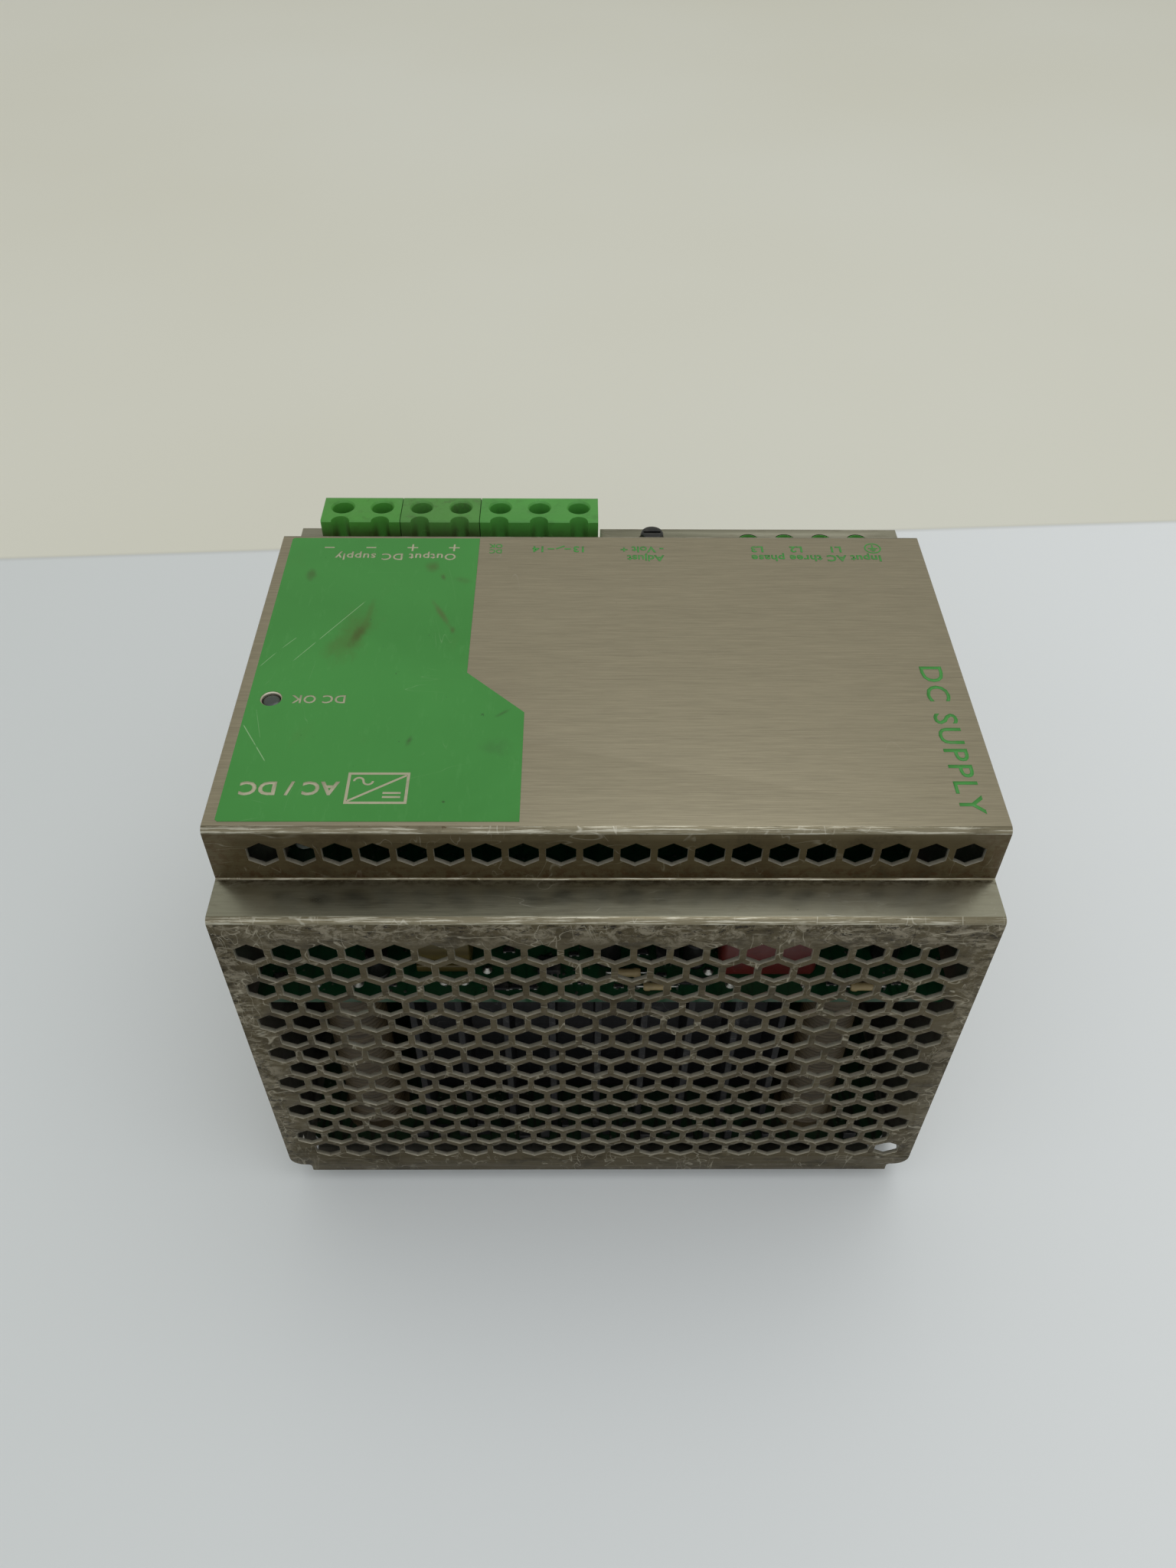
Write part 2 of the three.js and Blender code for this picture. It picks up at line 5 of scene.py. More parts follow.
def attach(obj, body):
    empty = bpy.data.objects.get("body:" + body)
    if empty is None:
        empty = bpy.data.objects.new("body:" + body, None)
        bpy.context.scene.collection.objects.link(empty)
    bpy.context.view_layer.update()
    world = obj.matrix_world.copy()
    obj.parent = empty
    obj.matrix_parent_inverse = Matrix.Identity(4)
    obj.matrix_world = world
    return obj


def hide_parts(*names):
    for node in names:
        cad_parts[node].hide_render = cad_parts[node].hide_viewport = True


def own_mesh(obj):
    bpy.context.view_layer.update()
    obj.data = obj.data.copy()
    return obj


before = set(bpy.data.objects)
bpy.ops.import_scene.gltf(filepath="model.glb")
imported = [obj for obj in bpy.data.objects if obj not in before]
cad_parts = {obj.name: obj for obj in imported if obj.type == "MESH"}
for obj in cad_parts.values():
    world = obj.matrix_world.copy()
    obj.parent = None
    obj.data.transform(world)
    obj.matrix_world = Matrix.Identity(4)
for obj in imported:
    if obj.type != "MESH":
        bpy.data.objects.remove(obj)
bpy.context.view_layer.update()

MM = 0.001
rng = random.Random(11)
scene = bpy.context.scene
coll = scene.collection

# ------------------------------------------------------------------ sizes, mm
HALF = 78.5
Y_TOP, Y_BOT = -65.0, 63.0
FRONT_Z, PLATE_Z = 125.0, 124.85
LEDGE_TOP, LEDGE_TERM = 110.15, 114.15
PLATE_Y0, PLATE_Y1 = -54.3, 43.9
SHEET, BEND = 1.0, 0.9
TAB_HALF, TAB_Z, CORNER_Z, CORNER_R = 73.5, 5.55, 8.5, 3.5
HEX_AF, HEX_PITCH, HEX_ROW, HEX_Z0, HEX_X0 = 6.0, 7.37, 6.355, 99.13, -71.83
OUT_X0 = -71.6
OUT_X = [OUT_X0 + 10.16 * (i + 0.5) for i in range(7)]
IN_X = [39.1 + 9.5 * i for i in range(4)]
OUT_Y, IN_Y, TRIM, LED = 59.8, 57.1, (13.6, 57.2), (-71.24, -16.84)

# ------------------------------------------------------------------ mesh code
def make(name, verts, faces):
    me = bpy.data.meshes.new(name)
    me.from_pydata([(v[0] * MM, v[1] * MM, v[2] * MM) for v in verts], [], faces)
    bm = bmesh.new(); bm.from_mesh(me)
    bmesh.ops.recalc_face_normals(bm, faces=bm.faces)
    bm.to_mesh(me); bm.free()
    o = bpy.data.objects.new(name, me)
    coll.objects.link(o)
    return o

def to3(axis, u, v, w):
    return {"X": (w, u, v), "Y": (u, w, v), "Z": (u, v, w)}[axis]

def prism(axis, pts, a, b, name="tool"):
    n = len(pts)
    vs = [to3(axis, p[0], p[1], a) for p in pts] + [to3(axis, p[0], p[1], b) for p in pts]
    fs = [list(range(n)), list(range(n, 2 * n))] + [[i, (i + 1) % n, n + (i + 1) % n, n + i] for i in range(n)]
    return make(name, vs, fs)

def prisms(axis, polys, a, b, name="tool"):
    vs, fs = [], []
    for pts in polys:
        n, k = len(pts), len(vs)
        vs += [to3(axis, p[0], p[1], a) for p in pts] + [to3(axis, p[0], p[1], b) for p in pts]
        fs += [[k + i for i in range(n)], [k + n + i for i in range(n)]] + [[k + i, k + (i + 1) % n, k + n + (i + 1) % n, k + n + i] for i in range(n)]
    return make(name, vs, fs)

def box(x0, x1, y0, y1, z0, z1, name="tool"):
    return prism("Z", [(x0, y0), (x1, y0), (x1, y1), (x0, y1)], z0, z1, name)

def circle(r, n, cx=0.0, cy=0.0, turn=0.0):
    return [(cx + r * math.cos(turn + 2 * math.pi * i / n), cy + r * math.sin(turn + 2 * math.pi * i / n)) for i in range(n)]

def arc(cx, cy, r, a0, a1, n):
    return [(cx + r * math.cos(a0 + (a1 - a0) * i / n), cy + r * math.sin(a0 + (a1 - a0) * i / n)) for i in range(n + 1)]

def rounded(x0, x1, y0, y1, r, n=5):
    h = math.pi / 2
    return (arc(x1 - r, y0 + r, r, -h, 0, n) + arc(x1 - r, y1 - r, r, 0, h, n) + arc(x0 + r, y1 - r, r, h, 2 * h, n) + arc(x0 + r, y0 + r, r, 2 * h, 3 * h, n))

def lathe(profile, axis="Z", at=(0, 0, 0), n=48, name="tool", flip=1):
    """profile: (radius, along), from the axis back to the axis."""
    vs, fs, rings = [], [], []
    for r, h in profile:
        if r < 1e-6:
            rings.append([len(vs)]); vs.append((0, 0, h))
        else:
            rings.append(list(range(len(vs), len(vs) + n)))
            vs += [(r * math.cos(2 * math.pi * i / n), r * math.sin(2 * math.pi * i / n), h) for i in range(n)]
    for a, b in zip(rings, rings[1:]):
        for i in range(n):
            j = (i + 1) % n
            if len(a) == 1 and len(b) == 1: continue
            if len(a) == 1: fs.append([a[0], b[i], b[j]])
            elif len(b) == 1: fs.append([a[i], a[j], b[0]])
            else: fs.append([a[i], a[j], b[j], b[i]])
    out = []
    for x, y, z in vs:
        z *= flip
        out.append({"Z": (at[0] + x, at[1] + y, at[2] + z), "X": (at[0] + z, at[1] + x, at[2] + y), "Y": (at[0] + x, at[1] + z, at[2] - y)}[axis])
    return make(name, out, fs)

def join(objs, name=None):
    first = objs[0]
    bm = bmesh.new()
    for o in objs:
        bm.from_mesh(o.data)
    bm.to_mesh(first.data); bm.free()
    for o in objs[1:]:
        bpy.data.objects.remove(o, do_unlink=True)
    if name: first.name = first.data.name = name
    return first

def bake(o):
    dg = bpy.context.evaluated_depsgraph_get(); dg.update()
    me = bpy.data.meshes.new_from_object(o.evaluated_get(dg))
    o.modifiers.clear(); o.data = me
    return o

def boolean(o, tool, op="DIFFERENCE", solver="MANIFOLD"):
    m = o.modifiers.new("b", "BOOLEAN"); m.object = tool; m.operation = op; m.solver = solver
    bake(o)
    bpy.data.objects.remove(tool, do_unlink=True)
    return o

def soften(o, width=0.2, segs=2, angle=35, smooth=40, dissolve=True):
    bm = bmesh.new(); bm.from_mesh(o.data)
    bmesh.ops.remove_doubles(bm, verts=bm.verts, dist=2e-6)
    if dissolve:
        bmesh.ops.dissolve_limit(bm, angle_limit=math.radians(1.0), verts=bm.verts, edges=bm.edges)
    bm.to_mesh(o.data); bm.free()
    if width:
        m = o.modifiers.new("v", "BEVEL"); m.width = width * MM; m.segments = segs; m.limit_method = "ANGLE"
        m.angle_limit = math.radians(angle); m.use_clamp_overlap = True; m.harden_normals = False
        bake(o)
    finish_mesh(o, smooth)
    return o

def finish_mesh(o, smooth=40):
    bm = bmesh.new(); bm.from_mesh(o.data)
    bmesh.ops.dissolve_degenerate(bm, dist=1e-7, edges=bm.edges)
    loose = [v for v in bm.verts if not v.link_faces]
    bmesh.ops.delete(bm, geom=loose, context="VERTS")
    bmesh.ops.triangulate(bm, faces=[f for f in bm.faces if len(f.verts) > 4])
    bm.normal_update()
    for f in bm.faces: f.smooth = True
    lim = math.radians(smooth)
    for e in bm.edges:
        e.smooth = not (len(e.link_faces) != 2 or e.calc_face_angle(0) > lim)
    bm.to_mesh(o.data); bm.free()
    return o

def cad_copy(node, name, width=0.15, segs=2, smooth=40):
    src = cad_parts[node]
    o = bpy.data.objects.new(name, src.data.copy())
    o.data.materials.clear()
    coll.objects.link(o)
    if o.data.has_custom_normals:
        bm = bmesh.new(); bm.from_mesh(o.data); me = bpy.data.meshes.new(name); bm.to_mesh(me); bm.free(); o.data = me
    return soften(o, width, segs, smooth=smooth)

def place(o, body, *mats, nodes=(), slot=None, name=None):
    if name: o.name = o.data.name = name
    if mats:
        o.data.materials.clear()
        for m in mats: o.data.materials.append(m)
    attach(o, body)
    if nodes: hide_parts(*nodes)
    return o

# ------------------------------------------------------------------ materials
class Mat:
    def __init__(self, name):
        self.m = bpy.data.materials.new(name); self.m.use_nodes = True
        self.t = self.m.node_tree; self.t.nodes.clear()
        self.out = self.t.nodes.new("ShaderNodeOutputMaterial")
        self.b = self.t.nodes.new("ShaderNodeBsdfPrincipled")
        self.t.links.new(self.b.outputs[0], self.out.inputs[0])
        self.co = self.t.nodes.new("ShaderNodeTexCoord").outputs["Object"]
    def n(self, kind, **k):
        x = self.t.nodes.new("ShaderNode" + kind)
        for a, v in k.items(): setattr(x, a, v)
        return x
    def link(self, a, b): self.t.links.new(a, b)
    def val(self, sock, v):
        if isinstance(v, bpy.types.NodeSocket): self.link(v, sock)
        else: sock.default_value = v
    def scaled(self, sx, sy=None, sz=None, rot=None, off=None):
        m = self.n("Mapping"); self.link(self.co, m.inputs[0])
        m.inputs["Scale"].default_value = (sx, sy if sy is not None else sx, sz if sz is not None else sx)
        if rot: m.inputs["Rotation"].default_value = rot
        if off: m.inputs["Location"].default_value = off
        return m.outputs[0]
    def noise(self, vec, scale=1.0, detail=4, rough=0.5, dist=0.0):
        x = self.n("TexNoise"); self.link(vec, x.inputs["Vector"])
        x.inputs["Scale"].default_value = scale; x.inputs["Detail"].default_value = detail
        x.inputs["Roughness"].default_value = rough; x.inputs["Distortion"].default_value = dist
        return x.outputs["Fac"]
    def voronoi(self, vec, scale=1.0, feature="F1", rand=1.0):
        x = self.n("TexVoronoi", feature=feature); self.link(vec, x.inputs["Vector"])
        x.inputs["Scale"].default_value = scale; x.inputs["Randomness"].default_value = rand
        return x
    def ramp(self, fac, stops, interp="LINEAR"):
        x = self.n("ValToRGB"); x.color_ramp.interpolation = interp
        e = x.color_ramp.elements
        while len(e) < len(stops): e.new(0.5)
        for el, (p, c) in zip(e, stops):
            el.position = p; el.color = c if len(c) == 4 else (*c, 1)
        self.link(fac, x.inputs[0]); return x.outputs[0]
    def step(self, fac, lo, hi):
        x = self.n("MapRange", clamp=True, interpolation_type="SMOOTHSTEP"); self.link(fac, x.inputs[0])
        x.inputs[1].default_value = lo; x.inputs[2].default_value = hi
        x.inputs[3].default_value = 0; x.inputs[4].default_value = 1
        return x.outputs[0]
    def lin(self, fac, a, b, lo=0.0, hi=1.0):
        x = self.n("MapRange", clamp=True); self.link(fac, x.inputs[0])
        x.inputs[1].default_value = lo; x.inputs[2].default_value = hi
        x.inputs[3].default_value = a; x.inputs[4].default_value = b
        return x.outputs[0]
    def math(self, op, a, b=0.0, c=0.0, clamp=False):
        x = self.n("Math", operation=op, use_clamp=clamp)
        self.val(x.inputs[0], a); self.val(x.inputs[1], b)
        if len(x.inputs) > 2: self.val(x.inputs[2], c)
        return x.outputs[0]
    def mix(self, fac, a, b, mode="MIX"):
        x = self.n("Mix", data_type="RGBA", blend_type=mode)
        self.val(x.inputs["Factor"], fac)
        for s, v in ((x.inputs[6], a), (x.inputs[7], b)):
            if isinstance(v, bpy.types.NodeSocket): self.link(v, s)
            else: s.default_value = (*v, 1) if len(v) == 3 else v
        return x.outputs[2]
    def xyz(self):
        x = self.n("SeparateXYZ"); self.link(self.co, x.inputs[0]); return x.outputs
    def bump(self, *layers):
        """layers: (height socket, strength, distance in metres)"""
        last = None
        for h, s, d in layers:
            x = self.n("Bump"); x.inputs["Strength"].default_value = s; x.inputs["Distance"].default_value = d
            self.link(h, x.inputs["Height"])
            if last: self.link(last, x.inputs["Normal"])
            last = x.outputs[0]
        self.link(last, self.b.inputs["Normal"])
    def near(self, sock, centre, width):
        """1 near a coordinate, falling to 0 at width metres from it"""
        d = self.math("ABSOLUTE", self.math("SUBTRACT", sock, centre))
        x = self.n("MapRange", clamp=True, interpolation_type="SMOOTHSTEP"); self.link(d, x.inputs[0])
        x.inputs[1].default_value = 0; x.inputs[2].default_value = width
        x.inputs[3].default_value = 1; x.inputs[4].default_value = 0
        return x.outputs[0]
    def set(self, **k):
        for a, v in k.items(): self.val(self.b.inputs[a], (*v, 1) if isinstance(v, tuple) and len(v) == 3 else v)
        return self.m

def lin(r, g, b):
    f = lambda c: (c / 255 / 12.92) if c / 255 <= 0.04045 else ((c / 255 + 0.055) / 1.055) ** 2.4
    return (f(r), f(g), f(b))

def scratches(M, vec, scale, width, keep_lo, keep_hi, mask_scale):
    """thin curved lines: iso-lines of a stretched noise, kept only in patches"""
    n = M.noise(vec, scale, 2, 0.5, 0.6)
    line = M.math("SUBTRACT", 1.0, M.step(M.math("ABSOLUTE", M.math("SUBTRACT", n, 0.5)), 0.0, width))
    keep = M.step(M.noise(M.scaled(mask_scale), 1.0, 3, 0.6), keep_lo, keep_hi)
    return M.math("MULTIPLY", line, keep)

def steel(name, base, dark, rough=(0.34, 0.5), dirt=0.3, scuff=0.3, edge=True, metal=1.0, chalk=(0.62, 0.6, 0.56), seed=0.0, rust=0.15):
    M = Mat(name)
    off = (seed, seed * 0.7, seed * 1.3)
    grain = M.noise(M.scaled(18, 5200, 5200, off=off), 1.0, 3, 0.65)
    grain2 = M.noise(M.scaled(60, 1700, 1700, off=off), 1.0, 2, 0.6)
    blot = M.noise(M.scaled(55, 55, 55, off=off), 1.0, 5, 0.6, 0.4)
    fine = M.noise(M.scaled(420, 420, 420, off=off), 1.0, 4, 0.62)
    col = M.mix(M.lin(grain, 0, 1, 0.25, 0.75), tuple(c * 0.86 for c in base), tuple(min(1, c * 1.12) for c in base))
    col = M.mix(M.math("MULTIPLY", M.step(blot, 0.42, 0.72), 0.45), col, dark)
    dirt_m = M.math("MULTIPLY", M.step(M.math("ADD", M.math("MULTIPLY", blot, 0.6), M.math("MULTIPLY", fine, 0.4)), 0.5, 0.68), dirt)
    col = M.mix(dirt_m, col, tuple(c * 0.45 for c in dark))
    s1 = scratches(M, M.scaled(45, 160, 160, rot=(0.3, 0.2, 0.5), off=off), 1.0, 0.012, 0.5, 0.62, 70)
    s2 = scratches(M, M.scaled(190, 60, 95, rot=(0.9, 0.1, -0.6), off=off), 1.0, 0.016, 0.53, 0.6, 110)
    s = M.math("MULTIPLY", M.math("MAXIMUM", s1, s2), scuff)
    col = M.mix(s, col, chalk)
    if rust:
        r = M.math("MULTIPLY", M.step(M.noise(M.scaled(900, 900, 900, off=off), 1.0, 5, 0.7), 0.66, 0.74), rust)
        col = M.mix(r, col, lin(84, 52, 30))
    rg = M.lin(grain2, rough[0], rough[1], 0.3, 0.7)
    rg = M.math("ADD", rg, M.math("MULTIPLY", dirt_m, 0.35))
    M.bump((grain, 0.12, 0.00004), (fine, 0.12, 0.00005), (s, 0.25, 0.00005))
    M.b.inputs["Metallic"].default_value = metal
    return M, col, rg, s, dirt_m, fine, blot

def brushed(M, off, fine_amt, band_amt, base):
    """grain along X: hair lines, broader streaks and short bright strokes"""
    hair = M.noise(M.scaled(110, 5200, 5200, off=off), 1.0, 4, 0.75)
    streak = M.noise(M.scaled(60, 1900, 1900, off=off), 1.0, 4, 0.7)
    broad = M.noise(M.scaled(16, 300, 300, off=off), 1.0, 3, 0.6)
    col = M.mix(M.lin(hair, 0, 1, 0.3, 0.7), tuple(c * (1 - fine_amt) for c in base), tuple(min(1, c * (1 + fine_amt)) for c in base))
    col = M.mix(M.lin(streak, 0, band_amt, 0.35, 0.7), col, tuple(c * 0.62 for c in base))
    col = M.mix(M.lin(broad, 0, band_amt * 0.8, 0.4, 0.7), col, tuple(min(1, c * 1.25) for c in base))
    return col, hair, streak

def front_plate():
    M = Mat("front_plate_metal")
    col, hair, streak = brushed(M, (3.1, 1.2, 0.4), 0.20, 0.20, lin(170, 161, 140))
    cloud = M.noise(M.scaled(14, 20, 20, off=(4, 2, 1)), 1.0, 4, 0.55)
    col = M.mix(M.math("MULTIPLY", M.step(cloud, 0.5, 0.8), 0.20), col, lin(150, 140, 120))
    specks = M.math("MULTIPLY", M.step(M.noise(M.scaled(760, 760, 760, off=(5, 5, 1)), 1.0, 4, 0.7), 0.71, 0.76), 0.35)
    col = M.mix(specks, col, lin(96, 84, 66))
    sc = M.math("MAXIMUM", scratches(M, M.scaled(20, 60, 30, rot=(0, 0, 0.5)), 1.0, 0.0022, 0.56, 0.66, 30), scratches(M, M.scaled(60, 22, 30, rot=(0, 0, -0.7), off=(2, 2, 2)), 1.0, 0.0022, 0.57, 0.66, 34))
    col = M.mix(M.math("MULTIPLY", sc, 0.3), col, lin(206, 200, 186))
    M.bump((hair, 0.10, 0.00003), (streak, 0.08, 0.00003), (sc, 0.2, 0.00002))
    M.b.inputs["Metallic"].default_value = 1.0
    return M.set(**{"Base Color": col, "Roughness": M.math("ADD", M.lin(streak, 0.33, 0.42, 0.3, 0.7), M.math("MULTIPLY", cloud, 0.08))})

def ledge_shade_and_light_metal():
    """small ledges: the same brushed sheet, greyer and darker as painted shade, lighter towards both ends as painted
    light, with handling scratches and grime in the inner corner
    """
    M = Mat("ledge_shade_and_light_metal")
    x, y, z = M.xyz()
    col, hair, streak = brushed(M, (8.1, 0.2, 2.4), 0.22, 0.5, lin(143, 141, 124))
    # painted light: lighter from the middle towards the right-hand end, where the lamp falls
    col = M.mix(M.math("MULTIPLY", M.step(x, 0.0, 0.075), 0.5), col, lin(196, 192, 174))
    # painted light: lighter at the left-hand end
    col = M.mix(M.math("MULTIPLY", M.math("SUBTRACT", 1.0, M.step(x, -0.08, -0.045)), 0.35), col, lin(186, 184, 168))
    inner = M.math("MAXIMUM", M.near(y, -0.0543, 0.0030), M.near(y, 0.0439, 0.0030))
    grit = M.step(M.noise(M.scaled(520, 900, 900, off=(2, 5, 2)), 1.0, 5, 0.7), 0.42, 0.62)
    col = M.mix(M.math("MULTIPLY", M.math("MULTIPLY", inner, grit), 0.75), col, lin(74, 60, 40))
    blot = M.noise(M.scaled(90, 260, 90, off=(1, 3, 1)), 1.0, 5, 0.65)
    col = M.mix(M.math("MULTIPLY", M.step(blot, 0.5, 0.72), 0.35), col, lin(104, 96, 78))
    sc = scratches(M, M.scaled(60, 220, 90, rot=(0, 0, 0.5), off=(6, 2, 1)), 1.0, 0.006, 0.52, 0.62, 60)
    col = M.mix(M.math("MULTIPLY", sc, 0.4), col, lin(206, 204, 192))
    M.bump((hair, 0.14, 0.00004), (streak, 0.12, 0.00004), (sc, 0.3, 0.00003))
    M.b.inputs["Metallic"].default_value = 1.0
    return M.set(**{"Base Color": col, "Roughness": M.lin(blot, 0.26, 0.42, 0.3, 0.7)})

def bend_highlight_and_scratch_metal():
    """outside of the folds: thin bright streaks along the crown as painted highlight, brown specks in the scratches"""
    M, col, rg, s, d, fine, blot = steel("bend_highlight_and_scratch_metal", lin(128, 121, 101), lin(98, 90, 70), (0.28, 0.42), dirt=0.3, scuff=0.5, rust=0.45, seed=8.4, chalk=lin(196, 192, 178))
    # painted highlight: thin bright streaks along the fold crown
    highlight_streaks = M.step(M.noise(M.scaled(90, 2600, 2600), 1.0, 5, 0.7), 0.50, 0.60)
    col = M.mix(M.math("MULTIPLY", highlight_streaks, 0.6), col, lin(214, 210, 194))
    spots = M.step(M.noise(M.scaled(700, 700, 700, off=(6, 1, 8)), 1.0, 5, 0.72), 0.63, 0.70)
    col = M.mix(M.math("MULTIPLY", spots, 0.65), col, lin(72, 52, 32))
    return M.set(**{"Base Color": col, "Roughness": rg})

def vent_tarnish_and_shade_metal():
    """tarnished perforated end, its dark base colour partly tarnish and partly painted shade: chalky rubbing along the
    top and the side edges, grime, fine scratches
    """
    M, col, rg, s, d, fine, blot = steel("vent_tarnish_and_shade_metal", lin(88, 79, 58), lin(60, 51, 34), (0.40, 0.58), dirt=0.35, scuff=0.42, rust=0.3, seed=5.7, metal=0.9, chalk=lin(150, 144, 126))
    x, y, z = M.xyz()
    wave = M.math("MULTIPLY", M.math("SUBTRACT", M.noise(M.scaled(110, 110, 40, off=(2, 2, 6)), 1.0, 4, 0.6), 0.5), 0.012)
    zt = M.math("ADD", z, wave); xt = M.math("ADD", x, wave)
    top = M.step(zt, 0.0995, 0.1075)
    side = M.math("MAXIMUM", M.math("SUBTRACT", 1.0, M.step(xt, -0.0775, -0.0700)), M.math("MULTIPLY", M.step(xt, 0.0705, 0.0780), 0.7))
    edge = M.math("MAXIMUM", top, M.math("MULTIPLY", side, 0.85))
    smear = M.noise(M.scaled(230, 230, 330, rot=(0, 0.5, 0), off=(1, 1, 1)), 1.0, 7, 0.76, 1.0)
    patch = M.math("MULTIPLY", M.step(smear, 0.46, 0.60), edge)
    col = M.mix(M.math("MULTIPLY", patch, 0.72), col, lin(160, 152, 134))
    # loose chalk marks inside the hole field, sparse
    loose = M.math("MULTIPLY", M.step(M.noise(M.scaled(340, 340, 520, rot=(0, 0.9, 0), off=(3, 0, 5)), 1.0, 6, 0.75), 0.57, 0.66), M.step(M.noise(M.scaled(48, 48, 48, off=(7, 0, 3)), 1.0, 3, 0.6), 0.48, 0.62))
    col = M.mix(M.math("MULTIPLY", loose, 0.75), col, lin(160, 152, 134))
    grime = M.math("MULTIPLY", M.step(M.noise(M.scaled(120, 120, 240, off=(9, 1, 2)), 1.0, 6, 0.7), 0.5, 0.64), 0.6)
    col = M.mix(grime, col, lin(50, 43, 28))
    black = M.math("MULTIPLY", M.step(M.noise(M.scaled(560, 560, 900, off=(4, 1, 9)), 1.0, 6, 0.74), 0.555, 0.61), edge)
    col = M.mix(M.math("MULTIPLY", black, 0.85), col, lin(34, 29, 24))
    line = M.math("MAXIMUM", scratches(M, M.scaled(80, 80, 210, rot=(0, 0.7, 0), off=(3, 3, 3)), 1.0, 0.014, 0.45, 0.55, 60), scratches(M, M.scaled(230, 80, 70, rot=(0, 0.25, 0), off=(5, 1, 3)), 1.0, 0.010, 0.48, 0.58, 75))
    col = M.mix(M.math("MULTIPLY", line, 0.6), col, lin(176, 169, 150))
    return M.set(**{"Base Color": col, "Roughness": M.math("ADD", rg, M.math("MULTIPLY", patch, 0.18))})

# painted shade: the riser is the same sheet with a darker base colour standing in for its shade; the brown grit along
# its foot and its ends is rust and dirt
def flange_shade_and_rust_metal():
    M, col, rg, s, d, fine, blot = steel("flange_shade_and_rust_metal", lin(92, 82, 60), lin(70, 58, 38), (0.34, 0.5), dirt=0.35, scuff=0.35, rust=0.3, seed=1.9, metal=0.95, chalk=lin(160, 154, 138))
    x, y, z = M.xyz()
    low = M.near(z, 0.1102, 0.0062); ends = M.math("MAXIMUM", M.near(x, -0.0785, 0.014), M.near(x, 0.0785, 0.010))
    grit = M.step(M.noise(M.scaled(640, 640, 640, off=(2, 5, 2)), 1.0, 6, 0.72), 0.45, 0.60)
    col = M.mix(M.math("MULTIPLY", M.math("MULTIPLY", M.math("MAXIMUM", low, M.math("MULTIPLY", ends, 0.6)), grit), 0.8), col, lin(74, 53, 31))
    return M.set(**{"Base Color": col, "Roughness": M.math("ADD", rg, M.math("MULTIPLY", low, 0.22))})

# painted highlight: the hole walls and the rim round the status light are the same sheet with a much lighter base
# colour standing in for the light they catch
def hole_lit_metal():
    M, col, rg, s, d, fine, blot = steel("hole_wall_painted_highlight", lin(206, 200, 182), lin(150, 142, 122), (0.28, 0.42), dirt=0.3, scuff=0.3, seed=2.2, metal=0.7)
    return M.set(**{"Base Color": col, "Roughness": rg})

# painted shade: the inside faces of the cover are the same sheet with a much darker base colour standing in for the
# shade inside the case
def inner_shaded_metal():
    M, col, rg, s, d, fine, blot = steel("inner_sheet_painted_shade", lin(58, 54, 44), lin(34, 31, 24), (0.45, 0.6), dirt=0.3, scuff=0.1, seed=6.2, metal=0.85)
    return M.set(**{"Base Color": col, "Roughness": rg})

def plain_steel(name, base, dark, rough=(0.35, 0.5), **k):
    M, col, rg, s, d, fine, blot = steel(name, base, dark, rough, **k)
    return M.set(**{"Base Color": col, "Roughness": rg})

def plastic(name, base, rough=0.45, vary=0.12, dirt=0.25, dirt_col=(0.05, 0.045, 0.03), bumps=0.1, sheen_col=None, grain=900, seed=0.0, spec=0.5, coat=0.0, grime=None):
    M = Mat(name)
    off = (seed, seed * 1.7, seed * 0.3)
    big = M.noise(M.scaled(60, 60, 60, off=off), 1.0, 4, 0.55)
    fine = M.noise(M.scaled(grain, grain, grain, off=off), 1.0, 4, 0.6)
    mid = M.noise(M.scaled(260, 260, 260, off=off), 1.0, 5, 0.65)
    col = M.mix(M.lin(big, 0, 1, 0.3, 0.7), tuple(c * (1 - vary) for c in base), tuple(min(1, c * (1 + vary)) for c in base))
    dm = M.math("MULTIPLY", M.step(mid, 0.52, 0.68), dirt)
    col = M.mix(dm, col, dirt_col)
    # partly dirt, partly painted shade: the blocks' face towards the front plate is darkened towards its bottom, near
    # the ledge
    if grime:
        x, y, z = M.xyz()
        low = M.math("SUBTRACT", 1.0, M.step(M.math("ADD", z, M.math("MULTIPLY", M.math("SUBTRACT", mid, 0.5), 0.004)), grime[0], grime[1]))
        face = M.math("SUBTRACT", 1.0, M.step(y, grime[2], grime[2] + 0.0006))
        col = M.mix(M.math("MULTIPLY", M.math("MULTIPLY", low, face), grime[3]), col, lin(50, 42, 18))
    sc = scratches(M, M.scaled(150, 60, 120, rot=(0.4, 0.3, 0.8), off=off), 1.0, 0.008, 0.55, 0.63, 90)
    col = M.mix(M.math("MULTIPLY", sc, 0.35), col, tuple(min(1, c * 1.7 + 0.05) for c in base))
    rg = M.math("ADD", M.lin(fine, rough - 0.06, rough + 0.1, 0.3, 0.7), M.math("MULTIPLY", dm, 0.25))
    M.bump((fine, bumps, 0.00004), (mid, 0.06, 0.0001), (sc, 0.2, 0.00003))
    M.b.inputs["Specular IOR Level"].default_value = spec
    if coat: M.b.inputs["Coat Weight"].default_value = coat
    return M.set(**{"Base Color": col, "Roughness": rg})

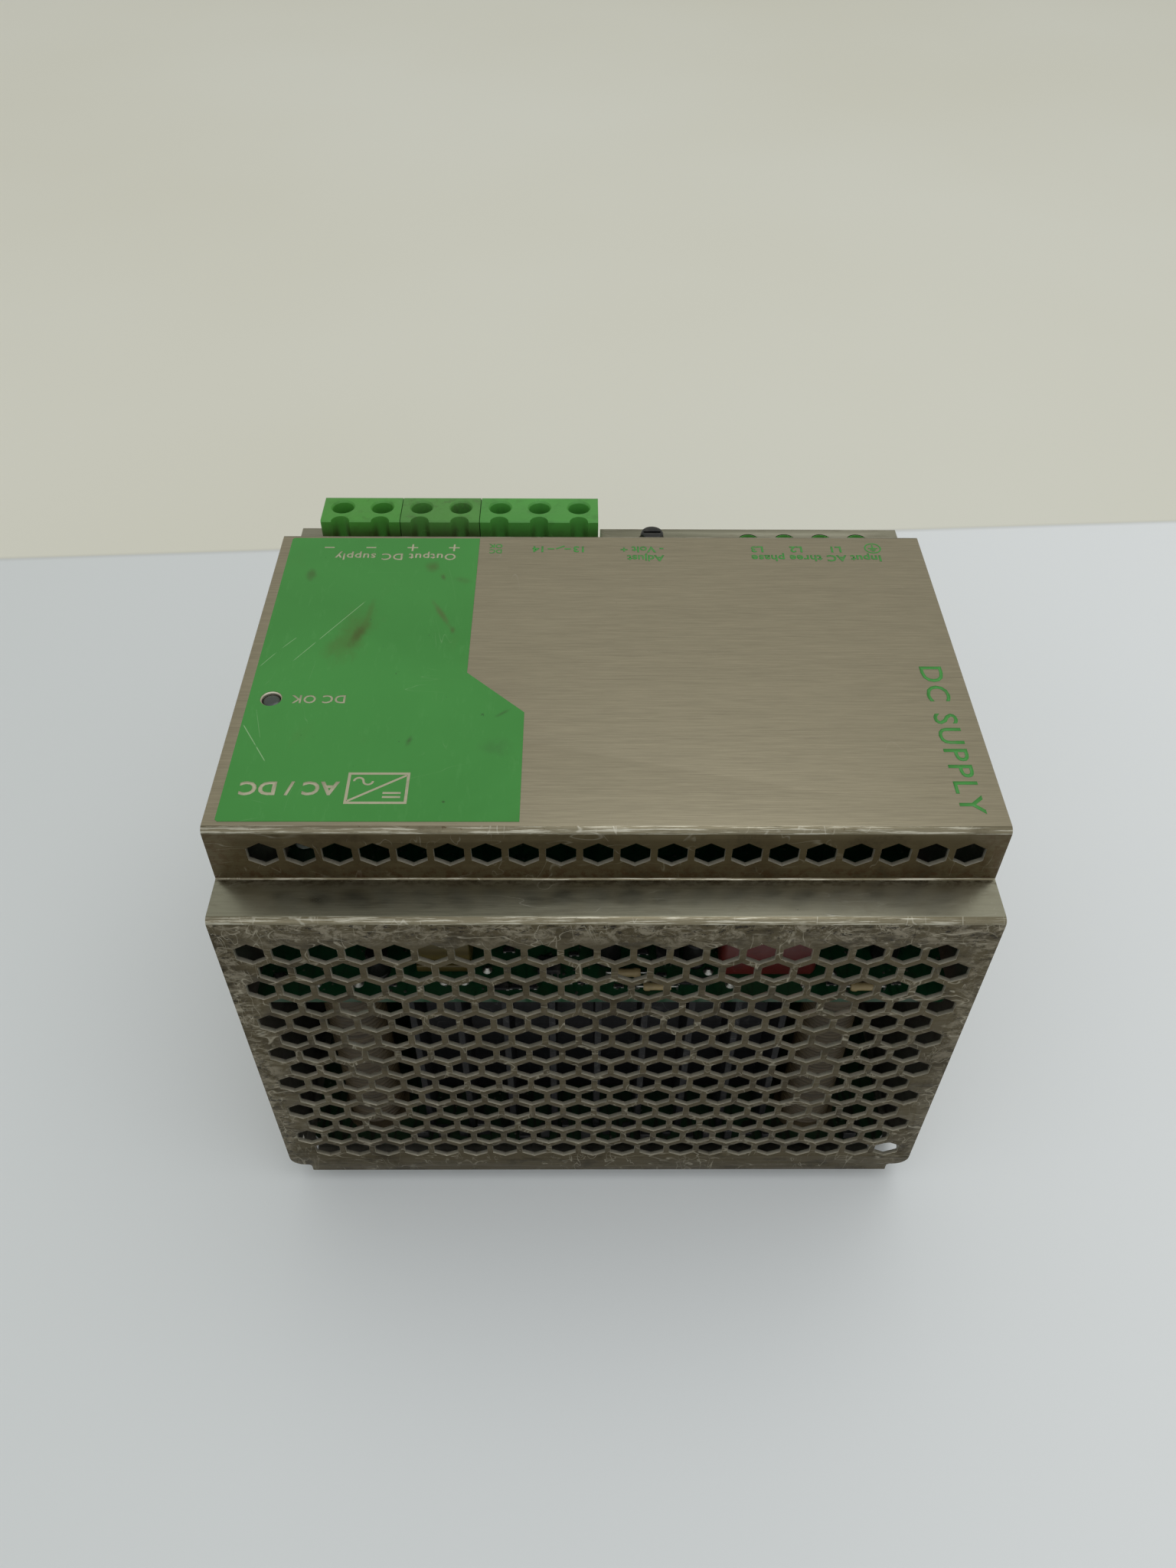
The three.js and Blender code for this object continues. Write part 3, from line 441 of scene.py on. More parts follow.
def ink_green():
    """screen-printed green panel with brown smudges, fine rub marks and scratches"""
    M = Mat("printed_green_ink")
    x, y, z = M.xyz()
    big = M.noise(M.scaled(24, 24, 24), 1.0, 4, 0.55, 0.6)
    fine = M.noise(M.scaled(1400, 1400, 1400), 1.0, 3, 0.6)
    col = M.mix(M.lin(big, 0, 1, 0.3, 0.7), lin(55, 132, 53), lin(62, 141, 60))
    warm = M.math("MULTIPLY", M.step(M.noise(M.scaled(60, 26, 30, rot=(0, 0, 0.5), off=(3, 1, 0)), 1.0, 4, 0.6, 0.5), 0.56, 0.74), 0.30)
    col = M.mix(warm, col, lin(76, 124, 50))
    rub = M.noise(M.scaled(700, 160, 300, rot=(0, 0, 0.6), off=(1, 6, 0)), 1.0, 5, 0.7)
    col = M.mix(M.math("MULTIPLY", M.step(rub, 0.55, 0.7), 0.16), col, lin(88, 156, 84))
    def smudge(cx, cy, rx, ry, ang, strength, colour, rag=2.0):
        nonlocal col
        m = M.n("Mapping", vector_type="TEXTURE"); M.link(M.co, m.inputs[0])
        m.inputs["Location"].default_value = (cx * MM, cy * MM, 0.125); m.inputs["Rotation"].default_value = (0, 0, ang)
        m.inputs["Scale"].default_value = (rx * MM, ry * MM, 0.02)
        ln = M.n("VectorMath", operation="LENGTH"); M.link(m.outputs[0], ln.inputs[0])
        ragged = M.math("ADD", ln.outputs["Value"], M.math("MULTIPLY", M.math("SUBTRACT", M.noise(M.scaled(300, 180, 300, rot=(0, 0, ang), off=(cx, cy, 0)), 1.0, 5, 0.72, 0.6), 0.5), rag))
        mask = M.math("SUBTRACT", 1.0, M.step(ragged, 0.0, 1.15))
        col = M.mix(M.math("MULTIPLY", mask, strength), col, colour)
    olive, brown = lin(70, 104, 36), lin(66, 82, 22)
    smudge(-56.5, 4.5, 5.0, 12.0, -0.22, 0.55, olive, 1.6)
    smudge(-55.2, 5.0, 1.7, 6.0, -0.32, 0.80, brown, 1.4)
    smudge(-53.8, 12.5, 1.0, 6.5, -0.10, 0.45, olive, 1.2)
    smudge(-60.4, 1.0, 2.6, 5.0, -0.45, 0.35, olive, 1.6)
    smudge(-37.2, 12.2, 0.9, 7.2, 0.45, 0.62, lin(80, 92, 44), 1.3)
    smudge(-34.2, 6.2, 0.8, 1.7, 0.1, 0.6, lin(70, 84, 34), 1.3)
    smudge(-40.8, 30.3, 2.0, 2.6, 0.2, 0.6, lin(70, 88, 32), 1.8)
    smudge(-37.8, 26.2, 0.8, 1.5, 0.3, 0.6, lin(66, 72, 30), 1.4)
    smudge(-33.0, 25.0, 1.4, 3.4, 1.2, 0.3, lin(66, 92, 40), 1.6)
    smudge(-69.3, 27.4, 1.6, 2.8, 0.2, 0.6, lin(62, 86, 36), 1.8)
    smudge(-40.6, -29.6, 0.8, 2.0, -0.25, 0.7, lin(50, 80, 34), 1.4)
    smudge(-22.6, -31.6, 3.6, 3.2, 0.6, 0.28, lin(52, 92, 44), 2.2)
    smudge(-21.7, -21.3, 0.6, 2.2, -0.9, 0.6, lin(50, 84, 36), 1.4)
    smudge(-32.2, -46.9, 0.45, 0.45, 0.0, 0.8, lin(40, 52, 24), 0.6)
    def hairline(x0, y0, x1, y1, w, strength, bow=0.0):
        """one thin scratch between two points"""
        nonlocal col
        L, ang = math.hypot(x1 - x0, y1 - y0), math.atan2(y1 - y0, x1 - x0)
        m = M.n("Mapping", vector_type="TEXTURE"); M.link(M.co, m.inputs[0])
        m.inputs["Location"].default_value = ((x0 + x1) / 2 * MM, (y0 + y1) / 2 * MM, 0.125); m.inputs["Rotation"].default_value = (0, 0, ang)
        m.inputs["Scale"].default_value = (L / 2 * MM, w * MM, 1)
        q = M.n("SeparateXYZ"); M.link(m.outputs[0], q.inputs[0])
        curve = M.math("MULTIPLY", M.math("MULTIPLY", q.outputs[0], q.outputs[0]), bow)
        across = M.math("SUBTRACT", 1.0, M.step(M.math("ABSOLUTE", M.math("ADD", q.outputs[1], curve)), 0.3, 1.0))
        along = M.math("SUBTRACT", 1.0, M.step(M.math("ABSOLUTE", q.outputs[0]), 0.85, 1.0))
        broken = M.step(M.noise(M.scaled(240, 240, 240, off=(x0, y0, 1)), 1.0, 3, 0.6), 0.36, 0.5)
        col = M.mix(M.math("MULTIPLY", M.math("MULTIPLY", M.math("MULTIPLY", across, along), broken), strength), col, lin(150, 186, 138))
    hairline(-68.8, -4.9, -54.9, 17.3, 0.12, 0.75)
    hairline(-75.8, -6.4, -68.8, 4.3, 0.12, 0.6, 2.0)
    hairline(-75.7, -24.8, -69.1, -35.9, 0.14, 0.8)
    hairline(-73.8, -20.0, -71.4, -29.0, 0.08, 0.35)
    specks = M.math("MULTIPLY", M.step(M.noise(M.scaled(520, 520, 520, off=(8, 8, 8)), 1.0, 3, 0.7), 0.70, 0.75), 0.55)
    col = M.mix(specks, col, lin(36, 62, 30))
    sc = M.math("MAXIMUM", scratches(M, M.scaled(16, 90, 30, rot=(0, 0, 0.9)), 1.0, 0.0028, 0.55, 0.64, 45), scratches(M, M.scaled(90, 16, 30, rot=(0, 0, -0.3), off=(2, 2, 2)), 1.0, 0.0028, 0.56, 0.64, 50))
    col = M.mix(M.math("MULTIPLY", sc, 0.35), col, lin(128, 170, 118))
    M.bump((M.noise(M.scaled(18, 5200, 5200), 1.0, 3, 0.6), 0.06, 0.00003), (fine, 0.06, 0.00002))
    return M.set(**{"Base Color": col, "Roughness": M.lin(big, 0.36, 0.5, 0.3, 0.7), "Specular IOR Level": 0.45})

def board_mat(name="solder_mask", a=lin(9, 48, 27), b=lin(13, 60, 33)):
    M = Mat(name)
    big = M.noise(M.scaled(90, 90, 90), 1.0, 3, 0.5)
    base = M.mix(M.lin(big, 0, 1, 0.3, 0.7), a, b)
    v = M.voronoi(M.scaled(420, 420, 1), 1.0, "F1", 1.0)
    cell = M.noise(M.scaled(210, 36, 1), 1.0, 1, 0.4)
    track = M.step(M.math("ABSOLUTE", M.math("SUBTRACT", cell, 0.5)), 0.015, 0.03)
    base = M.mix(M.math("MULTIPLY", track, 0.35), base, lin(22, 72, 40))
    pad = M.math("SUBTRACT", 1.0, M.step(v.outputs["Distance"], 0.12, 0.17))
    base = M.mix(M.math("MULTIPLY", pad, 0.9), base, lin(110, 108, 98))
    dust = M.math("MULTIPLY", M.step(M.noise(M.scaled(300, 300, 300), 1.0, 5, 0.7), 0.5, 0.66), 0.35)
    base = M.mix(dust, base, lin(44, 46, 34))
    M.bump((track, 0.2, 0.00005), (pad, 0.5, 0.0003))
    M.link(M.math("MULTIPLY", pad, 0.8), M.b.inputs["Metallic"])
    return M.set(**{"Base Color": base, "Roughness": M.lin(big, 0.3, 0.5, 0.3, 0.7)})

def tape(name, a, b, lines=(2, 700), seed=0.0, rough=0.42):
    """wrapped tape or winding: bands round the part plus dust"""
    M = Mat(name)
    w = M.noise(M.scaled(40, 40, lines[1], off=(seed, 0, 0)), 1.0, lines[0], 0.5)
    blot = M.noise(M.scaled(130, 130, 130, off=(seed, 1, 1)), 1.0, 5, 0.6)
    col = M.mix(M.lin(w, 0, 1, 0.35, 0.65), a, b)
    col = M.mix(M.math("MULTIPLY", M.step(blot, 0.5, 0.7), 0.45), col, tuple(c * 0.4 for c in a))
    M.bump((w, 0.4, 0.0002), (blot, 0.1, 0.0002))
    return M.set(**{"Base Color": col, "Roughness": rough})

FRONT, BENDS, VENT, FLANGE_SHADED, HOLE_LIT, INNER_SHADED, LEDGE = front_plate(), bend_highlight_and_scratch_metal(), vent_tarnish_and_shade_metal(), flange_shade_and_rust_metal(), hole_lit_metal(), inner_shaded_metal(), ledge_shade_and_light_metal()
SIDE = plain_steel("side_wall_metal", lin(168, 164, 154), lin(128, 122, 112), (0.36, 0.5), dirt=0.2, scuff=0.35, seed=9.3, rust=0.12, chalk=lin(205, 202, 194))
INK = ink_green()
# the grime tuples darken the blocks towards the bottom of the face towards the front plate: partly dirt, partly painted
# shade
BLOCK_A = plastic("terminal_green", lin(73, 144, 55), 0.42, 0.08, 0.30, lin(58, 92, 36), seed=1.0, grime=(0.1165, 0.1222, 0.0550, 0.85))
BLOCK_B = plastic("terminal_green_worn", lin(78, 138, 60), 0.5, 0.1, 0.5, lin(74, 96, 54), seed=2.0, grime=(0.1165, 0.1222, 0.0550, 0.8))
BLOCK_C = plastic("terminal_green_right", lin(76, 150, 62), 0.42, 0.08, 0.24, lin(52, 96, 36), seed=3.0, grime=(0.1162, 0.1218, 0.0550, 0.6))
ZINC = plain_steel("zinc_plating", lin(186, 186, 180), lin(140, 136, 126), (0.25, 0.42), dirt=0.35, scuff=0.4, seed=4.4, rust=0.2, chalk=lin(220, 220, 214))
RAILST = plain_steel("rail_steel", lin(176, 176, 170), lin(132, 130, 122), (0.28, 0.45), dirt=0.25, scuff=0.45, seed=7.7, rust=0.25, chalk=lin(214, 214, 208))
SPRING = plain_steel("spring_wire", lin(190, 190, 188), lin(150, 148, 144), (0.2, 0.3), dirt=0.15, scuff=0.2, seed=7.1)
# painted shade: the lower board takes the same solder mask in near-black, standing in for the shade deep inside the
# case
BOARD, BOARD_SHADED = board_mat(), board_mat("solder_mask_painted_shade", lin(22, 26, 17), lin(30, 32, 20))
BLACK = plastic("black_plastic", lin(30, 30, 31), 0.42, 0.15, 0.35, lin(92, 88, 78), seed=5.0)
KNOB = plastic("knob_black", lin(20, 21, 22), 0.34, 0.1, 0.3, lin(84, 80, 72), seed=6.0)
LENS = plastic("light_lens", lin(44, 54, 50), 0.28, 0.06, 0.15, lin(50, 58, 50), seed=6.5, spec=0.7, coat=0.4)
PIPE = plastic("light_pipe_clear", lin(170, 178, 168), 0.2, 0.05, 0.1, lin(120, 120, 110), seed=6.7, spec=0.6)
FERRITE = plastic("ferrite", lin(52, 52, 54), 0.6, 0.12, 0.3, lin(92, 88, 80), seed=7.0)
YTAPE = tape("yellow_tape", lin(66, 56, 22), lin(84, 72, 30), (2, 500))
PTAPE = tape("pale_winding", lin(62, 52, 34), lin(84, 72, 50), (3, 1400), 2.0, 0.5)
COPPER = tape("copper_winding", lin(128, 66, 34), lin(176, 98, 54), (3, 1500), 3.0, 0.3)
SLEEVE = plastic("capacitor_sleeve", lin(14, 14, 13), 0.4, 0.1, 0.25, lin(48, 46, 40), seed=8.0, spec=0.35)
ORANGE = plastic("orange_film", lin(84, 22, 17), 0.4, 0.12, 0.45, lin(44, 24, 18), seed=9.0, spec=0.6)
SINK = plain_steel("black_heat_sink", lin(44, 44, 46), lin(30, 30, 31), (0.4, 0.55), dirt=0.3, scuff=0.25, seed=2.9, metal=0.6, rust=0.0, chalk=lin(120, 120, 118))
WHITE_INK = plastic("white_ink", lin(172, 168, 142), 0.42, 0.1, 0.3, lin(112, 132, 90), seed=3.3)
GREEN_INK = plastic("green_ink", lin(62, 146, 60), 0.45, 0.1, 0.3, lin(110, 130, 92), seed=3.6)
ALU = plain_steel("capacitor_lid", lin(180, 180, 178), lin(140, 140, 138), (0.3, 0.42), dirt=0.2, scuff=0.2, seed=1.2)

# ------------------------------------------------------------------ cover: folded, perforated sheet
def folded(mid, t, r, n=10):
    line = []
    for i, p in enumerate(mid):
        p = Vector(p)
        if i in (0, len(mid) - 1):
            d = (Vector(mid[1]) - p) if i == 0 else (p - Vector(mid[i - 1]))
            d.normalize(); line.append((p, Vector((-d.y, d.x)))); continue
        d0 = (p - Vector(mid[i - 1])).normalized(); d1 = (Vector(mid[i + 1]) - p).normalized()
        side = 1 if d0.x * d1.y - d0.y * d1.x > 0 else -1
        a = p - d0 * r; c = a + Vector((-d0.y, d0.x)) * side * r
        for k in range(n + 1):
            t_ = side * (math.pi / 2) * k / n; v = a - c
            out = Vector((v.x * math.cos(t_) - v.y * math.sin(t_), v.x * math.sin(t_) + v.y * math.cos(t_)))
            line.append((c + out, out.normalized() * -side))
    left = [p + m * t / 2 for p, m in line]; right = [p - m * t / 2 for p, m in line]
    return [tuple(v) for v in left + right[::-1]]

def hexagon(x, z, af=HEX_AF):
    return circle(af / math.sqrt(3), 6, x, z, math.pi / 2)

def near_holes():
    return [hexagon(HEX_X0 + c * HEX_PITCH + (HEX_PITCH / 2 if r % 2 else 0), HEX_Z0 - r * HEX_ROW) for r in range(14) for c in range(20)]

def far_holes():
    out = []
    for r in range(2, 14):
        for c in range(20):
            x, z = HEX_X0 + c * HEX_PITCH + (HEX_PITCH / 2 if r % 2 else 0), HEX_Z0 - r * HEX_ROW
            if z > 90 and (x < 5 or x > 28): continue
            out.append(hexagon(x, z))
    return out

def build_cover():
    h = SHEET / 2
    mid = [(Y_TOP + h, TAB_Z), (Y_TOP + h, LEDGE_TOP - h), (PLATE_Y0 + h, LEDGE_TOP - h), (PLATE_Y0 + h, PLATE_Z - h),
           (PLATE_Y1 - h, PLATE_Z - h), (PLATE_Y1 - h, LEDGE_TERM - h), (Y_BOT - h, LEDGE_TERM - h), (Y_BOT - h, TAB_Z)]
    o = prism("X", folded(mid, SHEET, BEND), -HALF, HALF, "cover")
    corner = [(TAB_HALF, TAB_Z - 1), (TAB_HALF, CORNER_Z - 0.9)] + [(TAB_HALF + 0.9 - 0.9 * math.cos(a), CORNER_Z - 0.9 + 0.9 * math.sin(a)) for a in [0.4, 0.8, 1.2, 1.5708]] \
        + arc(HALF - CORNER_R, CORNER_Z + CORNER_R, CORNER_R, -math.pi / 2, 0, 10) + [(HALF + 1, CORNER_Z + CORNER_R), (HALF + 1, TAB_Z - 1)]
    mirrored = [(-x, z) for x, z in corner][::-1]
    boolean(o, prisms("Y", [corner, mirrored], Y_TOP - 1, Y_TOP + 3))
    boolean(o, prisms("Y", [corner, mirrored], Y_BOT - 3, Y_BOT + 1))
    boolean(o, box(OUT_X[0] - 5.68, OUT_X[-1] + 5.68, 52.8, 67, 93.6, 117))
    boolean(o, prism("Y", rounded(IN_X[0] - 4.4, IN_X[3] + 4.4, 95.5, 108, 1.0), Y_BOT - 3, Y_BOT + 1))
    holes = [circle(2.8, 40, x, IN_Y) for x in IN_X] + [circle(3.5, 44, *TRIM)]
    boolean(o, prisms("Z", holes, 111, 116))
    boolean(o, lathe([(0, 122), (2.05, 122), (2.05, 124.62), (2.42, 125.05), (2.42, 127), (0, 127)], "Z", (LED[0], LED[1], 0), 48))
    boolean(o, prisms("Y", near_holes(), Y_TOP - 1, Y_TOP + 2))
    boolean(o, prisms("Y", [hexagon(-67.76 + i * 7.337, 117.6) for i in range(20)], PLATE_Y0 - 1, PLATE_Y0 + 2))
    boolean(o, prisms("Y", far_holes(), Y_BOT - 2, Y_BOT + 1))
    soften(o, 0.16, 2, angle=28, smooth=32)
    return o

def zone(o):
    """materials by place on the folded sheet: 0 front, 1 bends with painted highlight streaks, 2 vents with a dark base
    partly painted shade, 3 riser in painted shade, 4 hole walls as painted highlight, 5 inside in painted shade, 6
    ledges with painted shade and light
    """
    for p in o.data.polygons:
        c = p.center / MM; n = p.normal
        ax = max(range(3), key=lambda k: abs(n[k]))
        straight = abs(n[ax]) > 0.985
        out_near = c.y < Y_TOP + 0.06
        if math.hypot(c.x - LED[0], c.y - LED[1]) < 2.5 and c.z > 123.9: p.material_index = 4
        elif straight and ax == 2 and n.z > 0: p.material_index = 0 if c.z > 120 else 6
        elif straight and ax == 1 and n.y < 0 and out_near: p.material_index = 2
        elif straight and ax == 1 and n.y < 0 and abs(c.y - PLATE_Y0) < 0.06: p.material_index = 3
        elif straight and ax == 1 and n.y > 0 and (abs(c.y - Y_BOT) < 0.06 or abs(c.y - PLATE_Y1) < 0.06): p.material_index = 3
        elif not straight and abs(n.x) > 0.3 and n.y < -0.3 and (c.y < Y_TOP + 0.3 or abs(c.y - PLATE_Y0) < 0.3): p.material_index = 4
        elif abs(n.x) < 0.02 and not straight: p.material_index = 1
        elif straight and abs(n.x) > 0.5 and abs(abs(c.x) - HALF) < 0.05: p.material_index = 1
        elif (n.z < -0.5) or (ax == 1 and not (out_near or abs(c.y - Y_BOT) < 0.06)) : p.material_index = 5
        else: p.material_index = 4

cover = build_cover()
cover.data.materials.clear()
for m in (FRONT, BENDS, VENT, FLANGE_SHADED, HOLE_LIT, INNER_SHADED, LEDGE): cover.data.materials.append(m)
zone(cover)
# tabs welded under the front plate for the side screws
tabs = []
for sx in (-1, 1):
    for y in (-30, 30):
        t = prism("X", rounded(y - 6, y + 6, 112, PLATE_Z - 1.2, 1.6), 75.4 * sx if sx > 0 else -76.6, 76.6 * sx if sx > 0 else -75.4)
        tabs.append(boolean(t, prism("X", circle(1.6, 20, y, 117), (74 if sx > 0 else -78), (78 if sx > 0 else -74))))
tabs = soften(join(tabs, "cover_screw_tabs"), 0.1)
place(cover, "case", nodes=["front_cover"], slot="cover_steel", name="folded_cover")
# the screw tabs sit inside the case and take the darker inside copy of the sheet, painted shade
place(tabs, "case", INNER_SHADED, name="cover_screw_tabs")

# ------------------------------------------------------------------ printed panel and marks
def build_label():
    x0, x1, xm = -76.1, -17.1, -30.0
    pts = [(x0 + 0.5, -52.1), (x1, -52.1), (x1, -21.0), (xm, -8.3), (xm, 42.1), (x0 + 0.5, 42.1), (x0, 41.6), (x0, -51.6)]
    o = prism("Z", pts, PLATE_Z + 0.015, PLATE_Z + 0.075, "panel")
    boolean(o, prism("Z", circle(2.32, 48, *LED), 124, 126))
    return finish_mesh(o)
label = build_label()
place(label, "case", INK, nodes=["front_label"], slot="printed_green", name="printed_panel")

def lettering(name, text, x, y, size, turn, mat, z, thick=0.02, width=1.0, spacing=1.0, align="CENTER", bold=0.0):
    cu = bpy.data.curves.new(name, "FONT"); cu.body = text; cu.size = size * MM; cu.offset = bold * MM; cu.align_x = align; cu.align_y = "CENTER"
    cu.resolution_u = 3; cu.space_character = spacing
    o = bpy.data.objects.new(name, cu); coll.objects.link(o)
    dg = bpy.context.evaluated_depsgraph_get(); dg.update()
    me = bpy.data.meshes.new_from_object(o.evaluated_get(dg)); bpy.data.objects.remove(o, do_unlink=True)
    bm = bmesh.new(); bm.from_mesh(me)
    bmesh.ops.remove_doubles(bm, verts=bm.verts, dist=1e-6)
    r = bmesh.ops.extrude_face_region(bm, geom=bm.faces[:])
    bmesh.ops.translate(bm, verts=[v for v in r["geom"] if isinstance(v, bmesh.types.BMVert)], vec=(0, 0, thick * MM))
    bmesh.ops.transform(bm, matrix=Matrix.Translation((x * MM, y * MM, z * MM)) @ Matrix.Rotation(turn, 4, "Z") @ Matrix.Diagonal((width, 1, 1, 1)), verts=bm.verts)
    bmesh.ops.recalc_face_normals(bm, faces=bm.faces)
    bm.to_mesh(me); bm.free()
    o = bpy.data.objects.new(name, me); coll.objects.link(o)
    return place(o, "case", mat, name=name)

def strokes(name, polys, mat, z, thick=0.02):
    o = prisms("Z", polys, z, z + thick, name)
    return place(finish_mesh(o), "case", mat, name=name)

def bar(x, y, w, h, a=0.0):
    c, s = math.cos(a), math.sin(a)
    return [(x + c * u - s * v, y + s * u + c * v) for u, v in ((-w / 2, -h / 2), (w / 2, -h / 2), (w / 2, h / 2), (-w / 2, h / 2))]

def ring_strip(cx, cy, r, w, a0=0.0, a1=2 * math.pi, n=24):
    out = []
    for i in range(n):
        p, q = a0 + (a1 - a0) * i / n, a0 + (a1 - a0) * (i + 1) / n
        out.append([(cx + k * math.cos(t), cy + k * math.sin(t)) for k, t in ((r - w / 2, p), (r + w / 2, p), (r + w / 2, q), (r - w / 2, q))])
    return out

ZI, ZM, FLIP = PLATE_Z + 0.078, PLATE_Z + 0.012, math.pi
lettering("mark_light", "DC OK", -61.0, -16.9, 3.5, FLIP, WHITE_INK, ZI, spacing=1.06, bold=0.04)
lettering("mark_output", "Output DC supply", -50.0, 34.5, 3.6, FLIP, WHITE_INK, ZI, spacing=1.08, bold=0.05)
signs = [bar(OUT_X[0], 38.1, 2.4, 0.4), bar(OUT_X[1], 38.1, 2.4, 0.4)]
for x in OUT_X[2:4]:
    signs += [bar(x, 38.1, 2.6, 0.4), bar(x, 38.9, 0.42, 1.2), bar(x, 37.3, 0.42, 1.2)]
strokes("mark_signs", signs, WHITE_INK, ZI)
lettering("mark_contact_ok_1", "DC", OUT_X[4], 36.9, 2.2, FLIP, GREEN_INK, ZM, bold=0.05)
lettering("mark_contact_ok_2", "OK", OUT_X[4], 39.1, 2.2, FLIP, GREEN_INK, ZM, bold=0.05)
lettering("mark_13", "13", -5.4, 37.9, 3.3, FLIP, GREEN_INK, ZM, bold=0.08)
lettering("mark_14", "14", -15.3, 37.9, 3.3, FLIP, GREEN_INK, ZM, bold=0.08)
contact = [bar(-8.3, 37.9, 1.6, 0.4), bar(-10.1, 38.5, 2.4, 0.4, 0.55), bar(-12.4, 37.9, 1.6, 0.4)]
strokes("mark_contact", contact, GREEN_INK, ZM)
lettering("mark_volts", "- Volt +", 9.9, 37.9, 3.3, FLIP, GREEN_INK, ZM, bold=0.08, spacing=1.02)
lettering("mark_adjust", "Adjust", 10.7, 34.3, 3.4, FLIP, GREEN_INK, ZM, bold=0.08)
for t, x in (("L3", 38.2), ("L2", 47.8), ("L1", 57.4)):
    lettering("mark_" + t, t, x, 38.1, 3.3, FLIP, GREEN_INK, ZM, bold=0.08)
ex, ey = 66.7, 38.5
earth = ring_strip(ex, ey, 1.9, 0.36) + [bar(ex, ey + 0.75, 0.36, 1.3), bar(ex, ey - 0.05, 2.3, 0.34), bar(ex, ey - 0.6, 1.5, 0.32), bar(ex, ey - 1.1, 0.7, 0.3)]
strokes("mark_earth", earth, GREEN_INK, ZM)
lettering("mark_input", "Input AC three phase", 52.4, 34.5, 3.4, FLIP, GREEN_INK, ZM, spacing=1.06, bold=0.08)
lettering("mark_side", "DC SUPPLY", 71.6, -27.6, 7.0, -math.pi / 2, GREEN_INK, ZM, width=1.14, spacing=1.14, bold=0.05)
# generic converter symbol: a square halved by a diagonal, alternating on one side, direct on the other
cx, cy = -45.6, -43.2
conv = [bar(cx, cy - 4, 12.4, 0.6), bar(cx, cy + 4, 12.4, 0.6), bar(cx - 5.9, cy, 0.6, 7.4), bar(cx + 5.9, cy, 0.6, 7.4), bar(cx, cy, 13.3, 0.5, 0.565)]
strokes("mark_converter", conv, WHITE_INK, ZI)
conv2 = [bar(cx + 3.0, cy - 2.45, 3.6, 0.5), bar(cx + 3.0, cy - 1.35, 3.6, 0.5)] + ring_strip(cx - 3.9, cy + 1.9, 0.95, 0.45, 0, math.pi, 8) + ring_strip(cx - 2.0, cy + 1.9, 0.95, 0.45, math.pi, 2 * math.pi, 8)
strokes("mark_converter_signs", conv2, WHITE_INK, ZI)
lettering("mark_ac_dc", "AC / DC", -63.2, cy + 0.1, 5.0, FLIP, WHITE_INK, ZI, width=1.02, spacing=1.06, bold=0.14)

# ------------------------------------------------------------------ chassis
def build_chassis():
    w, t, z0 = 78.2, 1.2, 3.0
    def corner(cx, cz, r, a0, a1): return arc(cx, cz, r, a0, a1, 8)
    h = math.pi / 2
    u = [(-w, 123.7)] + corner(-w + 2.2, z0 + 2.2, 2.2, 2 * h, 3 * h) + corner(w - 2.2, z0 + 2.2, 2.2, -h, 0) + [(w, 123.7), (w - t, 123.7)] \
        + corner(w - 2.2, z0 + 2.2, 1.0, 0, -h) + corner(-w + 2.2, z0 + 2.2, 1.0, 3 * h, 2 * h) + [(-w + t, 123.7)]
    o = prism("Y", u, -70, 70, "chassis")
    side = [(-63.6, 2), (-63.6, 107.6), (-62.4, 108.7), (-52.8, 108.7), (-52.8, 122.4), (-51.8, 123.5), (40.6, 123.5), (41.6, 122.4), (41.6, 112.7), (60.4, 112.7), (61.6, 111.5), (61.6, 2)]
    boolean(o, prism("X", side, -80, 80), "INTERSECT")
    for sx in (-1, 1):
        a, b = (70.5, 80) if sx > 0 else (-80, -73.5)
        boolean(o, prisms("Z", [[(a, -66), (b, -66), (b, -56.5), (a, -56.5)], [(a, 55.5), (b, 55.5), (b, 66), (a, 66)]], 1, 8.2))
        for y in (-30, 30):
            boolean(o, lathe([(0, -0.2), (3.05, -0.2), (3.05, 0.02), (1.75, 1.25), (1.75, 1.6), (0, 1.6)], "X", (sx * 78.2, y, 117), 40, flip=-sx))
    boolean(o, prisms("Z", [circle(1.7, 24, *p) for p in ((-15, -32), (15, -32), (-16, 41), (16, 41))], 1, 6))
    return soften(o, 0.12, 2, angle=30, smooth=32)
chassis = build_chassis()
posts = [lathe([(0, 4.0), (3.4, 4.0), (3.4, 4.5), (3.0, 4.8), (3.0, 9.5), (2.8, 9.7), (0, 9.7)], "Z", (x, y, 0), 28) for x, y in ((-67, -52), (67, -52), (-67, 50), (67, 50))]
place(chassis, "case", SIDE, nodes=["rear_chassis"], slot="chassis_steel", name="rear_chassis_sheet")
place(finish_mesh(join(posts)), "case", ZINC, name="board_posts")

def side_screw(name, sx, y, z):
    o = lathe([(0, -0.02), (2.62, -0.02), (2.72, 0.1), (1.45, 1.3), (1.45, 4.3), (1.2, 4.5), (0, 4.5)], "X", (sx * 78.12, y, z), 48, flip=-sx)
    x0, x1 = (sx * 78.12 - 0.75, sx * 78.12 + 0.75)
    cross = []
    for a in (0.5, 0.5 + math.pi / 2):
        c, s = math.cos(a), math.sin(a)
        cross.append(prism("X", [(y + c * u - s * v, z + s * u + c * v) for u, v in ((-1.65, -0.3), (1.65, -0.3), (1.65, 0.3), (-1.65, 0.3))], min(x0, x1), max(x0, x1)))
    for t in cross: boolean(o, t)
    return soften(o, 0.06, 2, smooth=35)
n = 1
for sx in (-1, 1):
    for y in (-30, 30):
        place(side_screw(f"side_screw_{n}", sx, y, 117), "case", ZINC, nodes=[f"cover_screw_{n}"], slot="plated_steel", name=f"side_screw_{n}"); n += 1

